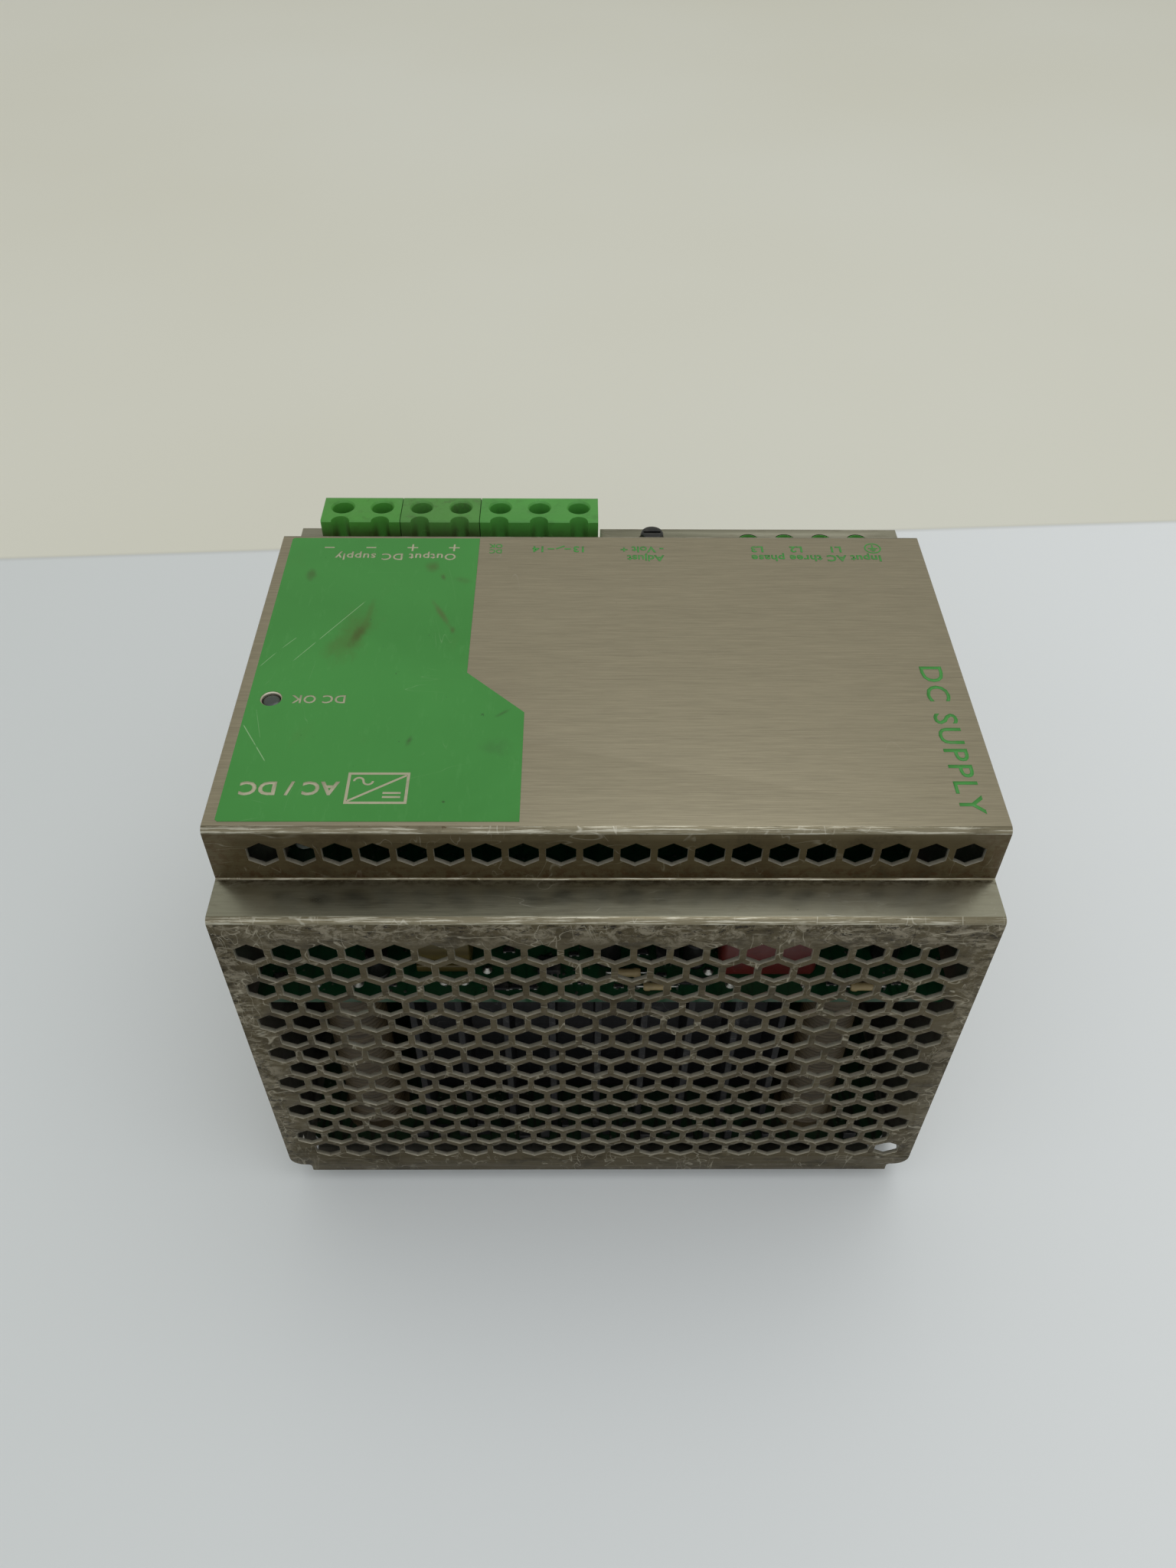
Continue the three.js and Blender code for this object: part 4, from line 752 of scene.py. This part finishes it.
# ------------------------------------------------------------------ terminals
OUT = dict(y=OUT_Y, hole=2.7, head=111, shaft=1.45, top=122.3, roof=108, cx=3.8, cy0=51.8, cy1=63.5, mouth=3.1, face=65.0)
INP = dict(y=IN_Y, hole=2.15, head=108.6, shaft=1.2, top=112.5, roof=107, cx=3.5, cy0=50.5, cy1=60.5, mouth=2.9, face=61.7)

def block(name, xs, o, profile, x0, x1, groove=True):
    b = prism("X", profile, x0, x1, name)
    def all_(axis, polys, a, c): boolean(b, prisms(axis, polys, a, c))
    funnel = [lathe([(0, o["head"]), (o["hole"], o["head"]), (o["hole"], o["top"] - 0.55), (o["hole"] + 0.45, o["top"] + 0.1), (o["hole"] + 0.45, o["top"] + 1), (0, o["top"] + 1)], "Z", (x, o["y"], 0), 40) for x in xs]
    boolean(b, join(funnel))
    all_("Z", [circle(o["shaft"] + 0.35, 24, x, o["y"]) for x in xs], o["roof"] - 0.5, o["head"] + 0.5)
    all_("Z", [rounded(x - o["cx"], x + o["cx"], o["cy0"], o["cy1"], 0.5, 3) for x in xs], 95.6, o["roof"])
    all_("Y", [rounded(x - o["mouth"], x + o["mouth"], 96.6, 103.6, 0.9, 4) for x in xs], o["cy1"] - 0.6, o["face"] + 1)
    lead = []
    for x in xs:
        a, c = rounded(x - o["mouth"] - 0.55, x + o["mouth"] + 0.55, 96.05, 104.15, 1.3, 4), rounded(x - o["mouth"] + 0.05, x + o["mouth"] - 0.05, 96.65, 103.55, 0.9, 4)
        k = len(a)
        vs = [(p[0], o["face"] + 0.05, p[1]) for p in a] + [(p[0], o["face"] - 0.6, p[1]) for p in c]
        fs = [list(range(k)), list(range(k, 2 * k))] + [[i, (i + 1) % k, k + (i + 1) % k, k + i] for i in range(k)]
        lead.append(make("lead", vs, fs))
    boolean(b, join(lead))
    if groove:
        all_("Z", [circle(2.35, 36, x, 53.2) for x in xs], 113.4, o["top"] + 1)
    # shallow ribs between the poles on the wire side
    ribs = [rounded((p + q) / 2 - 0.35, (p + q) / 2 + 0.35, 94, o["top"] - 3.5, 0.1, 1) for p, q in zip(xs, xs[1:])]
    if ribs: all_("Y", ribs, o["face"] - 0.35, o["face"] + 1)
    return soften(b, 0.22, 3, angle=32, smooth=38)

def out_block(name, node, first, count, mat):
    x0, x1 = OUT_X0 + first * 10.16 + 0.1, OUT_X0 + (first + count) * 10.16 - 0.1
    prof = [(47.5, 94.3), (65, 94.3), (65, 121.2), (63.9, 122.3), (53.8, 122.3), (53.4, 121.9), (53.4, 112.6), (48.1, 112.6), (47.5, 112)]
    return place(block(name, OUT_X[first:first + count], OUT, prof, x0, x1), "case", mat, nodes=[node], slot="terminal_green", name=name)
out_block("minus_terminal_block", "output_block_minus", 0, 2, BLOCK_A)
out_block("plus_terminal_block", "output_block_plus", 2, 2, BLOCK_B)
out_block("signal_terminal_block", "signal_block", 4, 3, BLOCK_C)
inp_prof = [(46, 94.3), (61.7, 94.3), (61.7, 111.7), (60.9, 112.5), (46.6, 112.5), (46, 111.9)]
place(block("mains_terminal_block", IN_X, INP, inp_prof, IN_X[0] - 4.75, IN_X[3] + 4.75, groove=False), "case", BLOCK_C, nodes=["input_block"], slot="terminal_green", name="mains_terminal_block")

collars = []
for x in IN_X:
    c = lathe([(0, 111.6), (2.66, 111.6), (2.66, 114.0), (2.58, 114.08), (0, 114.08)], "Z", (x, IN_Y, 0), 48)
    collars.append(boolean(c, lathe([(0, 111), (2.2, 111), (2.2, 113.4), (2.5, 114.2), (2.5, 115), (0, 115)], "Z", (x, IN_Y, 0), 48)))
place(finish_mesh(join(collars, "collars"), 40), "case", BLOCK_C, name="mains_block_collars")

def terminal_screw(name, x, o, head_r, head_h, tip, turn):
    z = o["head"] + 0.2
    prof = [(0, tip), (o["shaft"] - 0.25, tip), (o["shaft"], tip + 0.35)]
    k, zz = 0, tip + 0.5
    while zz < z - 0.9:
        prof += [(o["shaft"] - 0.02, zz), (o["shaft"] - 0.28, zz + 0.28), (o["shaft"] - 0.02, zz + 0.56)]; zz += 0.58
    prof += [(o["shaft"], z - 0.25), (o["shaft"], z), (head_r, z), (head_r, z + head_h - 0.45), (head_r - 0.3, z + head_h - 0.12), (head_r - 0.75, z + head_h), (0, z + head_h)]
    s = lathe(prof, "Z", (x, o["y"], 0), 40)
    c, q = math.cos(turn), math.sin(turn)
    rot = lambda u, v: (x + c * u - q * v, o["y"] + q * u + c * v)
    boolean(s, prism("Z", [rot(*p) for p in ((-head_r - 1, -0.4), (head_r + 1, -0.4), (head_r + 1, 0.4), (-head_r - 1, 0.4))], z + head_h - 0.85, z + head_h + 1))
    boolean(s, prism("Z", [rot(*p) for p in ((-0.36, -head_r * 0.62), (0.36, -head_r * 0.62), (0.36, head_r * 0.62), (-0.36, head_r * 0.62))], z + head_h - 1.2, z + head_h + 1))
    return soften(s, 0.05, 2, smooth=30)

for i, x in enumerate(OUT_X, 1):
    place(terminal_screw(f"out_screw_{i}", x, OUT, 2.35, 1.9, 102.0, rng.uniform(0, 3.1)), f"output_screw_{i}_body", ZINC, nodes=[f"output_screw_{i}"], slot="plated_steel", name=f"out_terminal_screw_{i}")
    place(cad_copy(f"output_clamp_{i}", f"out_clamp_{i}", 0.18, 2), f"output_clamp_{i}_body", ZINC, nodes=[f"output_clamp_{i}"], slot="plated_steel", name=f"out_wire_clamp_{i}")
for i, x in enumerate(IN_X, 1):
    place(terminal_screw(f"in_screw_{i}", x, INP, 1.85, 1.6, 101.4, rng.uniform(0, 3.1)), f"input_screw_{i}_body", ZINC, nodes=[f"input_screw_{i}"], slot="plated_steel", name=f"in_terminal_screw_{i}")
    place(cad_copy(f"input_clamp_{i}", f"in_clamp_{i}", 0.16, 2), f"input_clamp_{i}_body", ZINC, nodes=[f"input_clamp_{i}"], slot="plated_steel", name=f"in_wire_clamp_{i}")

# ------------------------------------------------------------------ adjustment and status light
place(cad_copy("trimmer_body", "trimmer", 0.3, 3), "case", BLACK, nodes=["trimmer_body"], slot="black_plastic", name="trimmer_housing")
def build_knob():
    x, y = TRIM
    o = lathe([(0, 98.2), (1.7, 98.2), (1.7, 105.4), (2.75, 105.4), (2.85, 105.7), (2.85, 112.4), (2.98, 112.9), (2.98, 115.7), (2.9, 116.15), (2.7, 116.45), (2.4, 116.58), (0, 116.58)], "Z", (x, y, 0), 64)
    boolean(o, prism("Z", rounded(x - 2.3, x + 2.3, y - 0.42, y + 0.42, 0.4, 4), 115.7, 118))
    # fluted grip
    boolean(o, prisms("Z", [circle(0.16, 8, x + 3.02 * math.cos(a), y + 3.02 * math.sin(a)) for a in [2 * math.pi * k / 24 for k in range(24)]], 112.0, 118))
    return soften(o, 0.05, 2, smooth=32)
place(build_knob(), "knob", KNOB, nodes=["adjust_knob"], slot="black_plastic", name="adjustment_knob")
lens = lathe([(0, 120.0), (1.9, 120.0), (1.9, 123.95), (1.86, 124.15), (1.7, 124.32), (1.3, 124.45), (0.7, 124.5), (0, 124.5)], "Z", (*LED, 0), 48)
stem = lathe([(0, 78.8), (2.6, 78.8), (2.6, 84.2), (2.3, 84.5), (1.85, 84.6), (1.85, 119.9), (0, 119.9)], "Z", (*LED, 0), 40)
place(finish_mesh(stem, 35), "case", PIPE, nodes=["status_light_pipe"], slot="clear_plastic", name="light_pipe")
place(finish_mesh(lens, 35), "case", LENS, slot="clear_plastic", name="status_light_lens")

# ------------------------------------------------------------------ boards and their parts
place(cad_copy("main_board", "main_board_new", 0), "case", BOARD_SHADED, nodes=["main_board"], slot="board_green", name="lower_board")
place(cad_copy("filter_board", "filter_board_new", 0), "case", BOARD, nodes=["filter_board"], slot="board_green", name="upper_board")
place(cad_copy("terminal_board", "terminal_board_new", 0), "case", BOARD, nodes=["terminal_board"], slot="board_green", name="terminal_board_piece")
place(cad_copy("terminal_link", "terminal_link_new", 0.4, 2), "case", BLACK, nodes=["terminal_link"], slot="black_plastic", name="board_connector")
place(cad_copy("primary_heatsink", "primary_sink_new", 0.25, 2), "case", SINK, nodes=["primary_heatsink"], slot="black_aluminium", name="finned_heatsink")
place(cad_copy("secondary_heatsink", "secondary_sink_new", 0.25, 2), "case", SINK, nodes=["secondary_heatsink"], slot="black_aluminium", name="second_heatsink")

def wound_rod(x, y, r, z0, z1, wire):
    """a ferrite rod choke: close turns of wire between two end flanges"""
    prof = [(0, z0), (r + 1.2, z0), (r + 1.2, z0 + 1.9), (r - wire / 2, z0 + 2.1)]
    n = int((z1 - z0 - 4.2) / wire); step = (z1 - z0 - 4.2) / n
    for i in range(n):
        a = z0 + 2.1 + i * step
        prof += [(r - wire / 2 + wire / 2 * math.sin(math.pi * k / 5), a + step * k / 5) for k in range(1, 6)]
    prof += [(r + 1.2, z1 - 1.9), (r + 1.2, z1), (0, z1)]
    return finish_mesh(lathe(prof, "Z", (x, y, 0), 40), 50)
place(wound_rod(-57.7, -49.5, 7, 11.9, 72, 1.5), "case", PTAPE, nodes=["input_choke_left"], slot="pale_tape", name="wound_choke_left")
place(wound_rod(53.2, -50.5, 6.4, 11.9, 72, 1.3), "case", PTAPE, nodes=["input_choke_right"], slot="pale_tape", name="wound_choke_right")

for i, x in ((1, -27), (2, 12)):
    can = lathe([(0, 11.9), (16.0, 11.9), (17.1, 12.3), (17.4, 13), (17.4, 14.4), (16.9, 15.1), (16.75, 15.5), (16.9, 15.9), (17.4, 16.6), (17.45, 40), (17.4, 65.6), (17.1, 66.5), (16.4, 66.95), (15.0, 66.9), (14.7, 66.3), (0, 66.3)], "Z", (x, -20.5, 0), 72)
    place(finish_mesh(can, 40), "case", SLEEVE, nodes=[f"bulk_capacitor_{i}"], slot="capacitor_sleeve", name=f"large_capacitor_{i}")
    lid = lathe([(0, 66.36), (14.3, 66.36), (14.4, 66.5), (14.2, 66.66), (0, 66.66)], "Z", (x, -20.5, 0), 56)
    boolean(lid, prisms("Z", [bar(x, -20.5, 22, 0.9), ], 66.55, 67.2)); boolean(lid, prisms("Z", [bar(x, -20.5, 0.9, 22)], 66.55, 67.2))
    place(finish_mesh(lid), "case", ALU, name=f"capacitor_lid_{i}")

place(cad_copy("transformer_core", "core_new", 0.5, 2), "case", FERRITE, nodes=["transformer_core"], slot="ferrite", name="transformer_ferrite")
place(cad_copy("transformer_winding", "winding_new", 0.5, 3), "case", YTAPE, nodes=["transformer_winding"], slot="yellow_tape", name="transformer_tape")

def ring_coil(cx, cy, cz, R, r, turns, n_per=8, m=18):
    vs, fs, N = [], [], turns * n_per
    for i in range(N):
        a = 2 * math.pi * i / N; k = r - 0.75 + 0.75 * abs(math.sin(math.pi * i / n_per))
        for j in range(m):
            b = 2 * math.pi * j / m
            vs.append((cx + (R + k * math.cos(b)) * math.cos(a), cy + (R + k * math.cos(b)) * math.sin(a), cz + k * math.sin(b)))
    for i in range(N):
        for j in range(m):
            fs.append([i * m + j, i * m + (j + 1) % m, ((i + 1) % N) * m + (j + 1) % m, ((i + 1) % N) * m + j])
    return finish_mesh(make("ring_coil", vs, fs), 50)
place(ring_coil(49, 3, 21, 16, 6.9, 44), "case", COPPER, nodes=["output_choke"], slot="copper_wire", name="ring_choke")
place(cad_copy("film_capacitor", "film_new", 1.1, 4), "case", ORANGE, nodes=["film_capacitor"], slot="orange_coating", name="film_capacitor_body")
place(cad_copy("pulse_transformer", "pulse_new", 0.4, 3), "case", YTAPE, nodes=["pulse_transformer"], slot="yellow_tape", name="pulse_transformer_body")
place(cad_copy("signal_relay", "relay_new", 0.6, 3), "case", BLACK, nodes=["signal_relay"], slot="black_plastic", name="relay_body")

def rod(p, q, r, n=10):
    p, q = Vector(p), Vector(q); d = (q - p).normalized()
    u = d.orthogonal().normalized(); v = d.cross(u); vs = []
    for c in (p, q):
        vs += [tuple(c + u * r * math.cos(2 * math.pi * i / n) + v * r * math.sin(2 * math.pi * i / n)) for i in range(n)]
    fs = [list(range(n)), list(range(n, 2 * n))] + [[i, (i + 1) % n, n + (i + 1) % n, n + i] for i in range(n)]
    return make("rod", vs, fs)

# small parts of the upper board, along the edge that shows through the top end
small, pins, cans, bands = [], [], [], []
TOPZ = 78.55
for x, y in [(-22.5, -58.8), (-19.2, -58.8), (-15.9, -58.8), (-8.0, -57.6), (-4.6, -57.6), (3.2, -58.6), (6.4, -58.6), (12.6, -55.6), (17.8, -57.4), (21.0, -57.4), (49.6, -58.0), (60.5, -57.8), (63.8, -57.8), (-46.2, -58.2), (-70.8, -56.0), (67.6, -44.0), (-21.0, -49.0), (-6.5, -50.2), (8.8, -49.6)]:
    w, d, h = rng.choice([(2.0, 1.25, 0.6), (3.2, 1.6, 0.7), (1.6, 0.8, 0.45)])
    small.append(soften(box(x - w / 2, x + w / 2, y - d / 2, y + d / 2, TOPZ, TOPZ + h), 0.06, 1))
    for sx in (-1, 1):
        pins.append(soften(box(x + sx * w * 0.5 - 0.32, x + sx * w * 0.5 + 0.32, y - d / 2 - 0.1, y + d / 2 + 0.1, TOPZ, TOPZ + 0.28), 0.05, 1))
for x, y, n in [(-12.0, -53.6, 4), (14.2, -50.0, 4)]:
    small.append(soften(box(x - 2.5, x + 2.5, y - 1.95, y + 1.95, TOPZ + 0.15, TOPZ + 1.6), 0.12, 2))
    for k in range(n):
        for sy in (-1, 1):
            pins.append(box(x - 1.9 + k * 1.27 - 0.2, x - 1.9 + k * 1.27 + 0.2, y + sy * 2.5 - 0.55, y + sy * 2.5 + 0.55, TOPZ, TOPZ + 0.35))
for x, y, r, h in [(0.6, -50.6, 3.1, 11.0), (20.0, -51.8, 2.5, 8.0), (62.5, -50.0, 3.0, 9.0), (-49.2, -54.8, 2.4, 7.5)]:
    cans.append(lathe([(0, TOPZ), (r - 0.2, TOPZ), (r, TOPZ + 0.2), (r, TOPZ + 0.9), (r - 0.25, TOPZ + 1.2), (r, TOPZ + 1.5), (r, TOPZ + h - 0.3), (r - 0.3, TOPZ + h), (0, TOPZ + h)], "Z", (x, y, 0), 32))
for x, y, a, L, r in [(-17.0, -45.5, 0.0, 6.4, 1.15), (-8.5, -45.5, 0.0, 6.4, 1.15), (5.0, -55.8, 0.0, 6.0, 1.1), (11.5, -59.3, 0.0, 6.0, 1.0), (56.5, -59.4, 0.0, 6.2, 1.1)]:
    z = TOPZ + r + 0.1; b = []
    prof = [(0, -L / 2), (r * 0.75, -L / 2), (r, -L / 2 + 0.4), (r, -L / 2 + 1.3), (r * 0.86, -L / 2 + 1.6), (r * 0.86, L / 2 - 1.6), (r, L / 2 - 1.3), (r, L / 2 - 0.4), (r * 0.75, L / 2), (0, L / 2)]
    bands.append(lathe(prof, "X", (x, y, z), 20))
    for s in (-1, 1):
        pins.append(rod((x + s * L / 2, y, z), (x + s * (L / 2 + 1.5), y, z), 0.3))
        pins.append(rod((x + s * (L / 2 + 1.35), y, z + 0.2), (x + s * (L / 2 + 1.35), y, TOPZ + 0.05), 0.3))
# solder cones of the large parts, near the front edge of the board
for x, y in [(27.5, -58.0), (44.0, -58.2), (-39.4, -57.2), (-34.8, -57.2), (-30.4, -57.2), (-62.5, -57.8), (-53.4, -57.8), (50.2, -55.2), (-25.6, -54.2), (23.0, -54.6)]:
    pins.append(lathe([(0, TOPZ), (1.15, TOPZ), (0.7, TOPZ + 0.35), (0.35, TOPZ + 0.9), (0, TOPZ + 1.0)], "Z", (x, y, 0), 16))
place(finish_mesh(join(small, "s")), "case", BLACK, name="small_board_parts")
place(finish_mesh(join(cans, "s")), "case", SLEEVE, name="small_capacitors")
RES = plastic("resistor_body", lin(150, 132, 92), 0.45, 0.2, 0.2, seed=9.9)
place(finish_mesh(join(bands, "s")), "case", RES, name="resistors")
place(finish_mesh(join(pins, "s")), "case", ZINC, name="leads_and_solder")

# small parts of the lower board along both perforated ends, leaving room round the filter chokes
low, lowc = [], []
for i in range(26):
    x = -66 + i * 5.2; y = -58.6 + rng.uniform(-0.6, 1.0)
    if abs(x + 57.7) < 10 or abs(x - 53.2) < 9: continue
    h = rng.uniform(1.0, 5.5); w = rng.uniform(1.6, 3.4); d = min(1.2, 1.2)
    low.append(soften(box(x - w / 2, x + w / 2, y - 0.9, y + 0.9, 11.65, 11.65 + h), 0.15, 1))
for x in (-62, -20, 0, 22, 40, 62):
    h = rng.uniform(8, 15); r = rng.uniform(3.4, 4.6)
    lowc.append(lathe([(0, 11.65), (r, 11.65), (r, 12.6), (r - 0.3, 13.0), (r, 13.4), (r, 11.65 + h - 0.3), (r - 0.4, 11.65 + h), (0, 11.65 + h)], "Z", (x, 51.5, 0), 32))
for x in (-48, -32, -12, 12, 32, 52):
    w, h = rng.uniform(7, 11), rng.uniform(6, 12)
    low.append(soften(box(x - w / 2, x + w / 2, 48.6, 54.4, 11.65, 11.65 + h), 0.5, 2))
place(finish_mesh(join(low, "s")), "case", BLACK, name="lower_board_parts")
place(finish_mesh(join(lowc, "s")), "case", SLEEVE, name="lower_board_capacitors")

# ------------------------------------------------------------------ rail fixing
place(cad_copy("rail_hook", "hook_new", 0.15, 2), "case", RAILST, nodes=["rail_hook"], slot="rail_steel", name="fixed_rail_hook")
place(cad_copy("rail_foot", "foot_new", 0.15, 2), "foot", RAILST, nodes=["rail_foot"], slot="rail_steel", name="sliding_rail_foot")
place(cad_copy("foot_guide", "guide_new", 0.12, 2), "case", RAILST, nodes=["foot_guide"], slot="rail_steel", name="foot_guide_strap")

def spring(y0, y1, z, r, wire, turns, per=20, m=8):
    vs, fs, N = [], [], turns * per
    closed = 1.0
    def at(t):
        s = t * turns; L = y1 - y0 - 2 * wire
        # end turns lie closed, the rest share the length
        e = min(s, closed) + min(max(turns - s, 0), closed) * -1 + closed
        if s < closed: y = s * 2 * wire
        elif s > turns - closed: y = L - (turns - s) * 2 * wire
        else: y = 2 * wire * closed + (s - closed) / (turns - 2 * closed) * (L - 4 * wire * closed)
        return Vector((r * math.cos(2 * math.pi * s), y0 + wire + y, z + r * math.sin(2 * math.pi * s)))
    for i in range(N + 1):
        t = i / N; p = at(t); d = (at(min(1, t + 1e-3)) - at(max(0, t - 1e-3))).normalized()
        rad = Vector((p.x, 0, p.z - z)).normalized(); b = d.cross(rad).normalized()
        vs += [tuple(p + rad * wire * math.cos(2 * math.pi * j / m) + b * wire * math.sin(2 * math.pi * j / m)) for j in range(m)]
    for i in range(N):
        for j in range(m):
            fs.append([i * m + j, i * m + (j + 1) % m, (i + 1) * m + (j + 1) % m, (i + 1) * m + j])
    fs += [list(range(m)), list(range(N * m, N * m + m))]
    return finish_mesh(make("spring", vs, fs), 60)
sp = place(spring(24.6, 39.9, 1.95, 0.7, 0.2, 9), "case", SPRING, nodes=["foot_spring"], slot="spring_steel", name="foot_return_spring")
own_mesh(sp)

def adapter_screw(x, y):
    o = lathe([(0, 0.15), (1.9, 0.15), (2.35, 0.3), (2.6, 0.6), (2.6, 1.15), (1.4, 1.15), (1.4, 1.6), (1.2, 1.9), (1.4, 2.2), (1.2, 2.5), (1.4, 2.8), (1.2, 3.1), (1.4, 3.4), (1.2, 3.7), (1.4, 4.0), (1.2, 4.3), (1.4, 4.6), (1.3, 5.2), (1.1, 5.4), (0, 5.4)], "Z", (x, y, 0), 40)
    for a in (0.3, 0.3 + math.pi / 2):
        boolean(o, prism("Z", bar(x, y, 3.2, 0.7, a), -0.5, 0.75))
    return soften(o, 0.05, 2, smooth=32)
for i, (x, y) in enumerate(((-15, -32), (15, -32), (-16, 41), (16, 41)), 1):
    place(adapter_screw(x, y), "case", ZINC, nodes=[f"adapter_screw_{i}"], slot="plated_steel", name=f"rail_bracket_screw_{i}")

# ------------------------------------------------------------------ stage, lights, camera
def flat_mat(name, base, rough, speck=0.03, scale=220):
    M = Mat(name)
    n = M.noise(M.scaled(scale), 1.0, 4, 0.6); big = M.noise(M.scaled(5), 1.0, 3, 0.5)
    col = M.mix(M.lin(n, 0, 1, 0.35, 0.65), tuple(c * (1 - speck) for c in base), base)
    col = M.mix(M.lin(big, 0, 0.35, 0.3, 0.7), col, tuple(c * 0.94 for c in base))
    M.bump((n, 0.08, 0.0002))
    return M.set(**{"Base Color": col, "Roughness": rough})
def table_mat():
    """pale table that meets a cream wall along a straight line behind the object"""
    M = Mat("pale_table")
    x, y, z = M.xyz()
    n = M.noise(M.scaled(240), 1.0, 4, 0.6); big = M.noise(M.scaled(3.2), 1.0, 3, 0.5)
    # painted light: the table darkens towards the left and brightens towards the right, as if lit from the right
    table = M.mix(M.lin(x, 0, 1, -0.32, 0.30), TABLE_SHADED_LEFT, TABLE_LIT_RIGHT)
    table = M.mix(M.math("MULTIPLY", M.lin(big, 0, 1, 0.3, 0.7), 0.12), table, lin(222, 226, 228))
    wall = M.mix(M.lin(M.noise(M.scaled(2.2, 2.2, 2.2, off=(5, 1, 0)), 1.0, 3, 0.5), 0, 1, 0.3, 0.7), WALL_A, WALL_B)
    edge = M.math("SUBTRACT", y, M.math("MULTIPLY", x, 0.060))
    # painted shade: a faint dark line along the seam where the painted wall meets the table
    line = M.near(edge, 0.2212, 0.0022)
    far = M.step(edge, 0.2205, 0.2225)
    col = M.mix(far, table, wall)
    col = M.mix(M.math("MULTIPLY", line, 0.22), col, lin(150, 146, 136))
    M.bump((n, 0.06, 0.0002))
    return M.set(**{"Base Color": col, "Roughness": 0.55})
TABLE_SHADED_LEFT, TABLE_LIT_RIGHT, WALL_A, WALL_B = lin(214, 218, 220), lin(239, 242, 246), lin(223, 221, 208), lin(227, 226, 216)
FLOOR = table_mat()
me = bpy.data.meshes.new("floor"); me.from_pydata([(-3, -2.2, -0.0002), (3, -2.2, -0.0002), (3, 3.2, -0.0002), (-3, 3.2, -0.0002)], [], [[0, 1, 2, 3]])
floor = bpy.data.objects.new("floor", me); coll.objects.link(floor); me.materials.append(FLOOR)

world = bpy.data.worlds.new("studio"); scene.world = world; world.use_nodes = True
wt = world.node_tree; bg = wt.nodes["Background"]
tc = wt.nodes.new("ShaderNodeTexCoord"); sep = wt.nodes.new("ShaderNodeSeparateXYZ"); wt.links.new(tc.outputs["Generated"], sep.inputs[0])
wr = wt.nodes.new("ShaderNodeValToRGB"); wt.links.new(sep.outputs[2], wr.inputs[0])
while len(wr.color_ramp.elements) < 4: wr.color_ramp.elements.new(0.5)
for el, (p, c) in zip(wr.color_ramp.elements, ((0.0, (0.47, 0.46, 0.42, 1)), (0.5, (0.48, 0.48, 0.43, 1)), (0.8, (0.48, 0.49, 0.45, 1)), (1.0, (0.80, 0.81, 0.80, 1)))):
    el.position = p; el.color = c
front = wt.nodes.new("ShaderNodeMapRange"); front.interpolation_type = "SMOOTHSTEP"; wt.links.new(sep.outputs[1], front.inputs[0])
front.inputs[1].default_value, front.inputs[2].default_value, front.inputs[3].default_value, front.inputs[4].default_value = -0.75, 0.1, 1.0, 0.0
wm = wt.nodes.new("ShaderNodeMix"); wm.data_type = "RGBA"; wt.links.new(front.outputs[0], wm.inputs["Factor"])
wt.links.new(wr.outputs[0], wm.inputs[6]); wm.inputs[7].default_value = (0.90, 0.92, 0.92, 1)
wt.links.new(wm.outputs[2], bg.inputs[0]); bg.inputs[1].default_value = 1.0

def area(name, loc, target, size, power, colour=(1, 1, 1), size_y=None):
    li = bpy.data.lights.new(name, "AREA"); li.energy = power; li.color = colour
    li.shape = "RECTANGLE"; li.size = size; li.size_y = size_y or size
    o = bpy.data.objects.new(name, li); coll.objects.link(o)
    o.location = loc; o.rotation_mode = "QUATERNION"; o.rotation_quaternion = (Vector(target) - Vector(loc)).to_track_quat("-Z", "Y")
    return o
area("overhead", (0.32, 0.04, 1.2), (0.02, 0, 0.06), 1.1, 2.35, (0.99, 1.0, 1.0), 0.75)

cam = bpy.data.cameras.new("photo_view"); cam.sensor_fit = "AUTO"; cam.sensor_width = 36.0; cam.lens = 27.870
cam.clip_start, cam.clip_end = 0.01, 20
co = bpy.data.objects.new("photo_view", cam); coll.objects.link(co); scene.camera = co
pitch, yaw, roll = math.radians(46.20), 0.0129, 0.0105
fwd = Vector((math.sin(yaw) * math.cos(pitch), math.cos(yaw) * math.cos(pitch), -math.sin(pitch)))
right = Vector((math.cos(yaw), -math.sin(yaw), 0)); up = right.cross(fwd)
r2 = right * math.cos(roll) + up * math.sin(roll); u2 = up * math.cos(roll) - right * math.sin(roll)
m3 = Matrix((r2, u2, -fwd)).transposed()
co.matrix_world = Matrix.Translation((-0.005902, -0.209662, 0.299770)) @ m3.to_4x4()

scene.view_settings.view_transform = "Standard"
scene.view_settings.look = "None"
scene.view_settings.exposure = 0.0
bpy.context.view_layer.update()
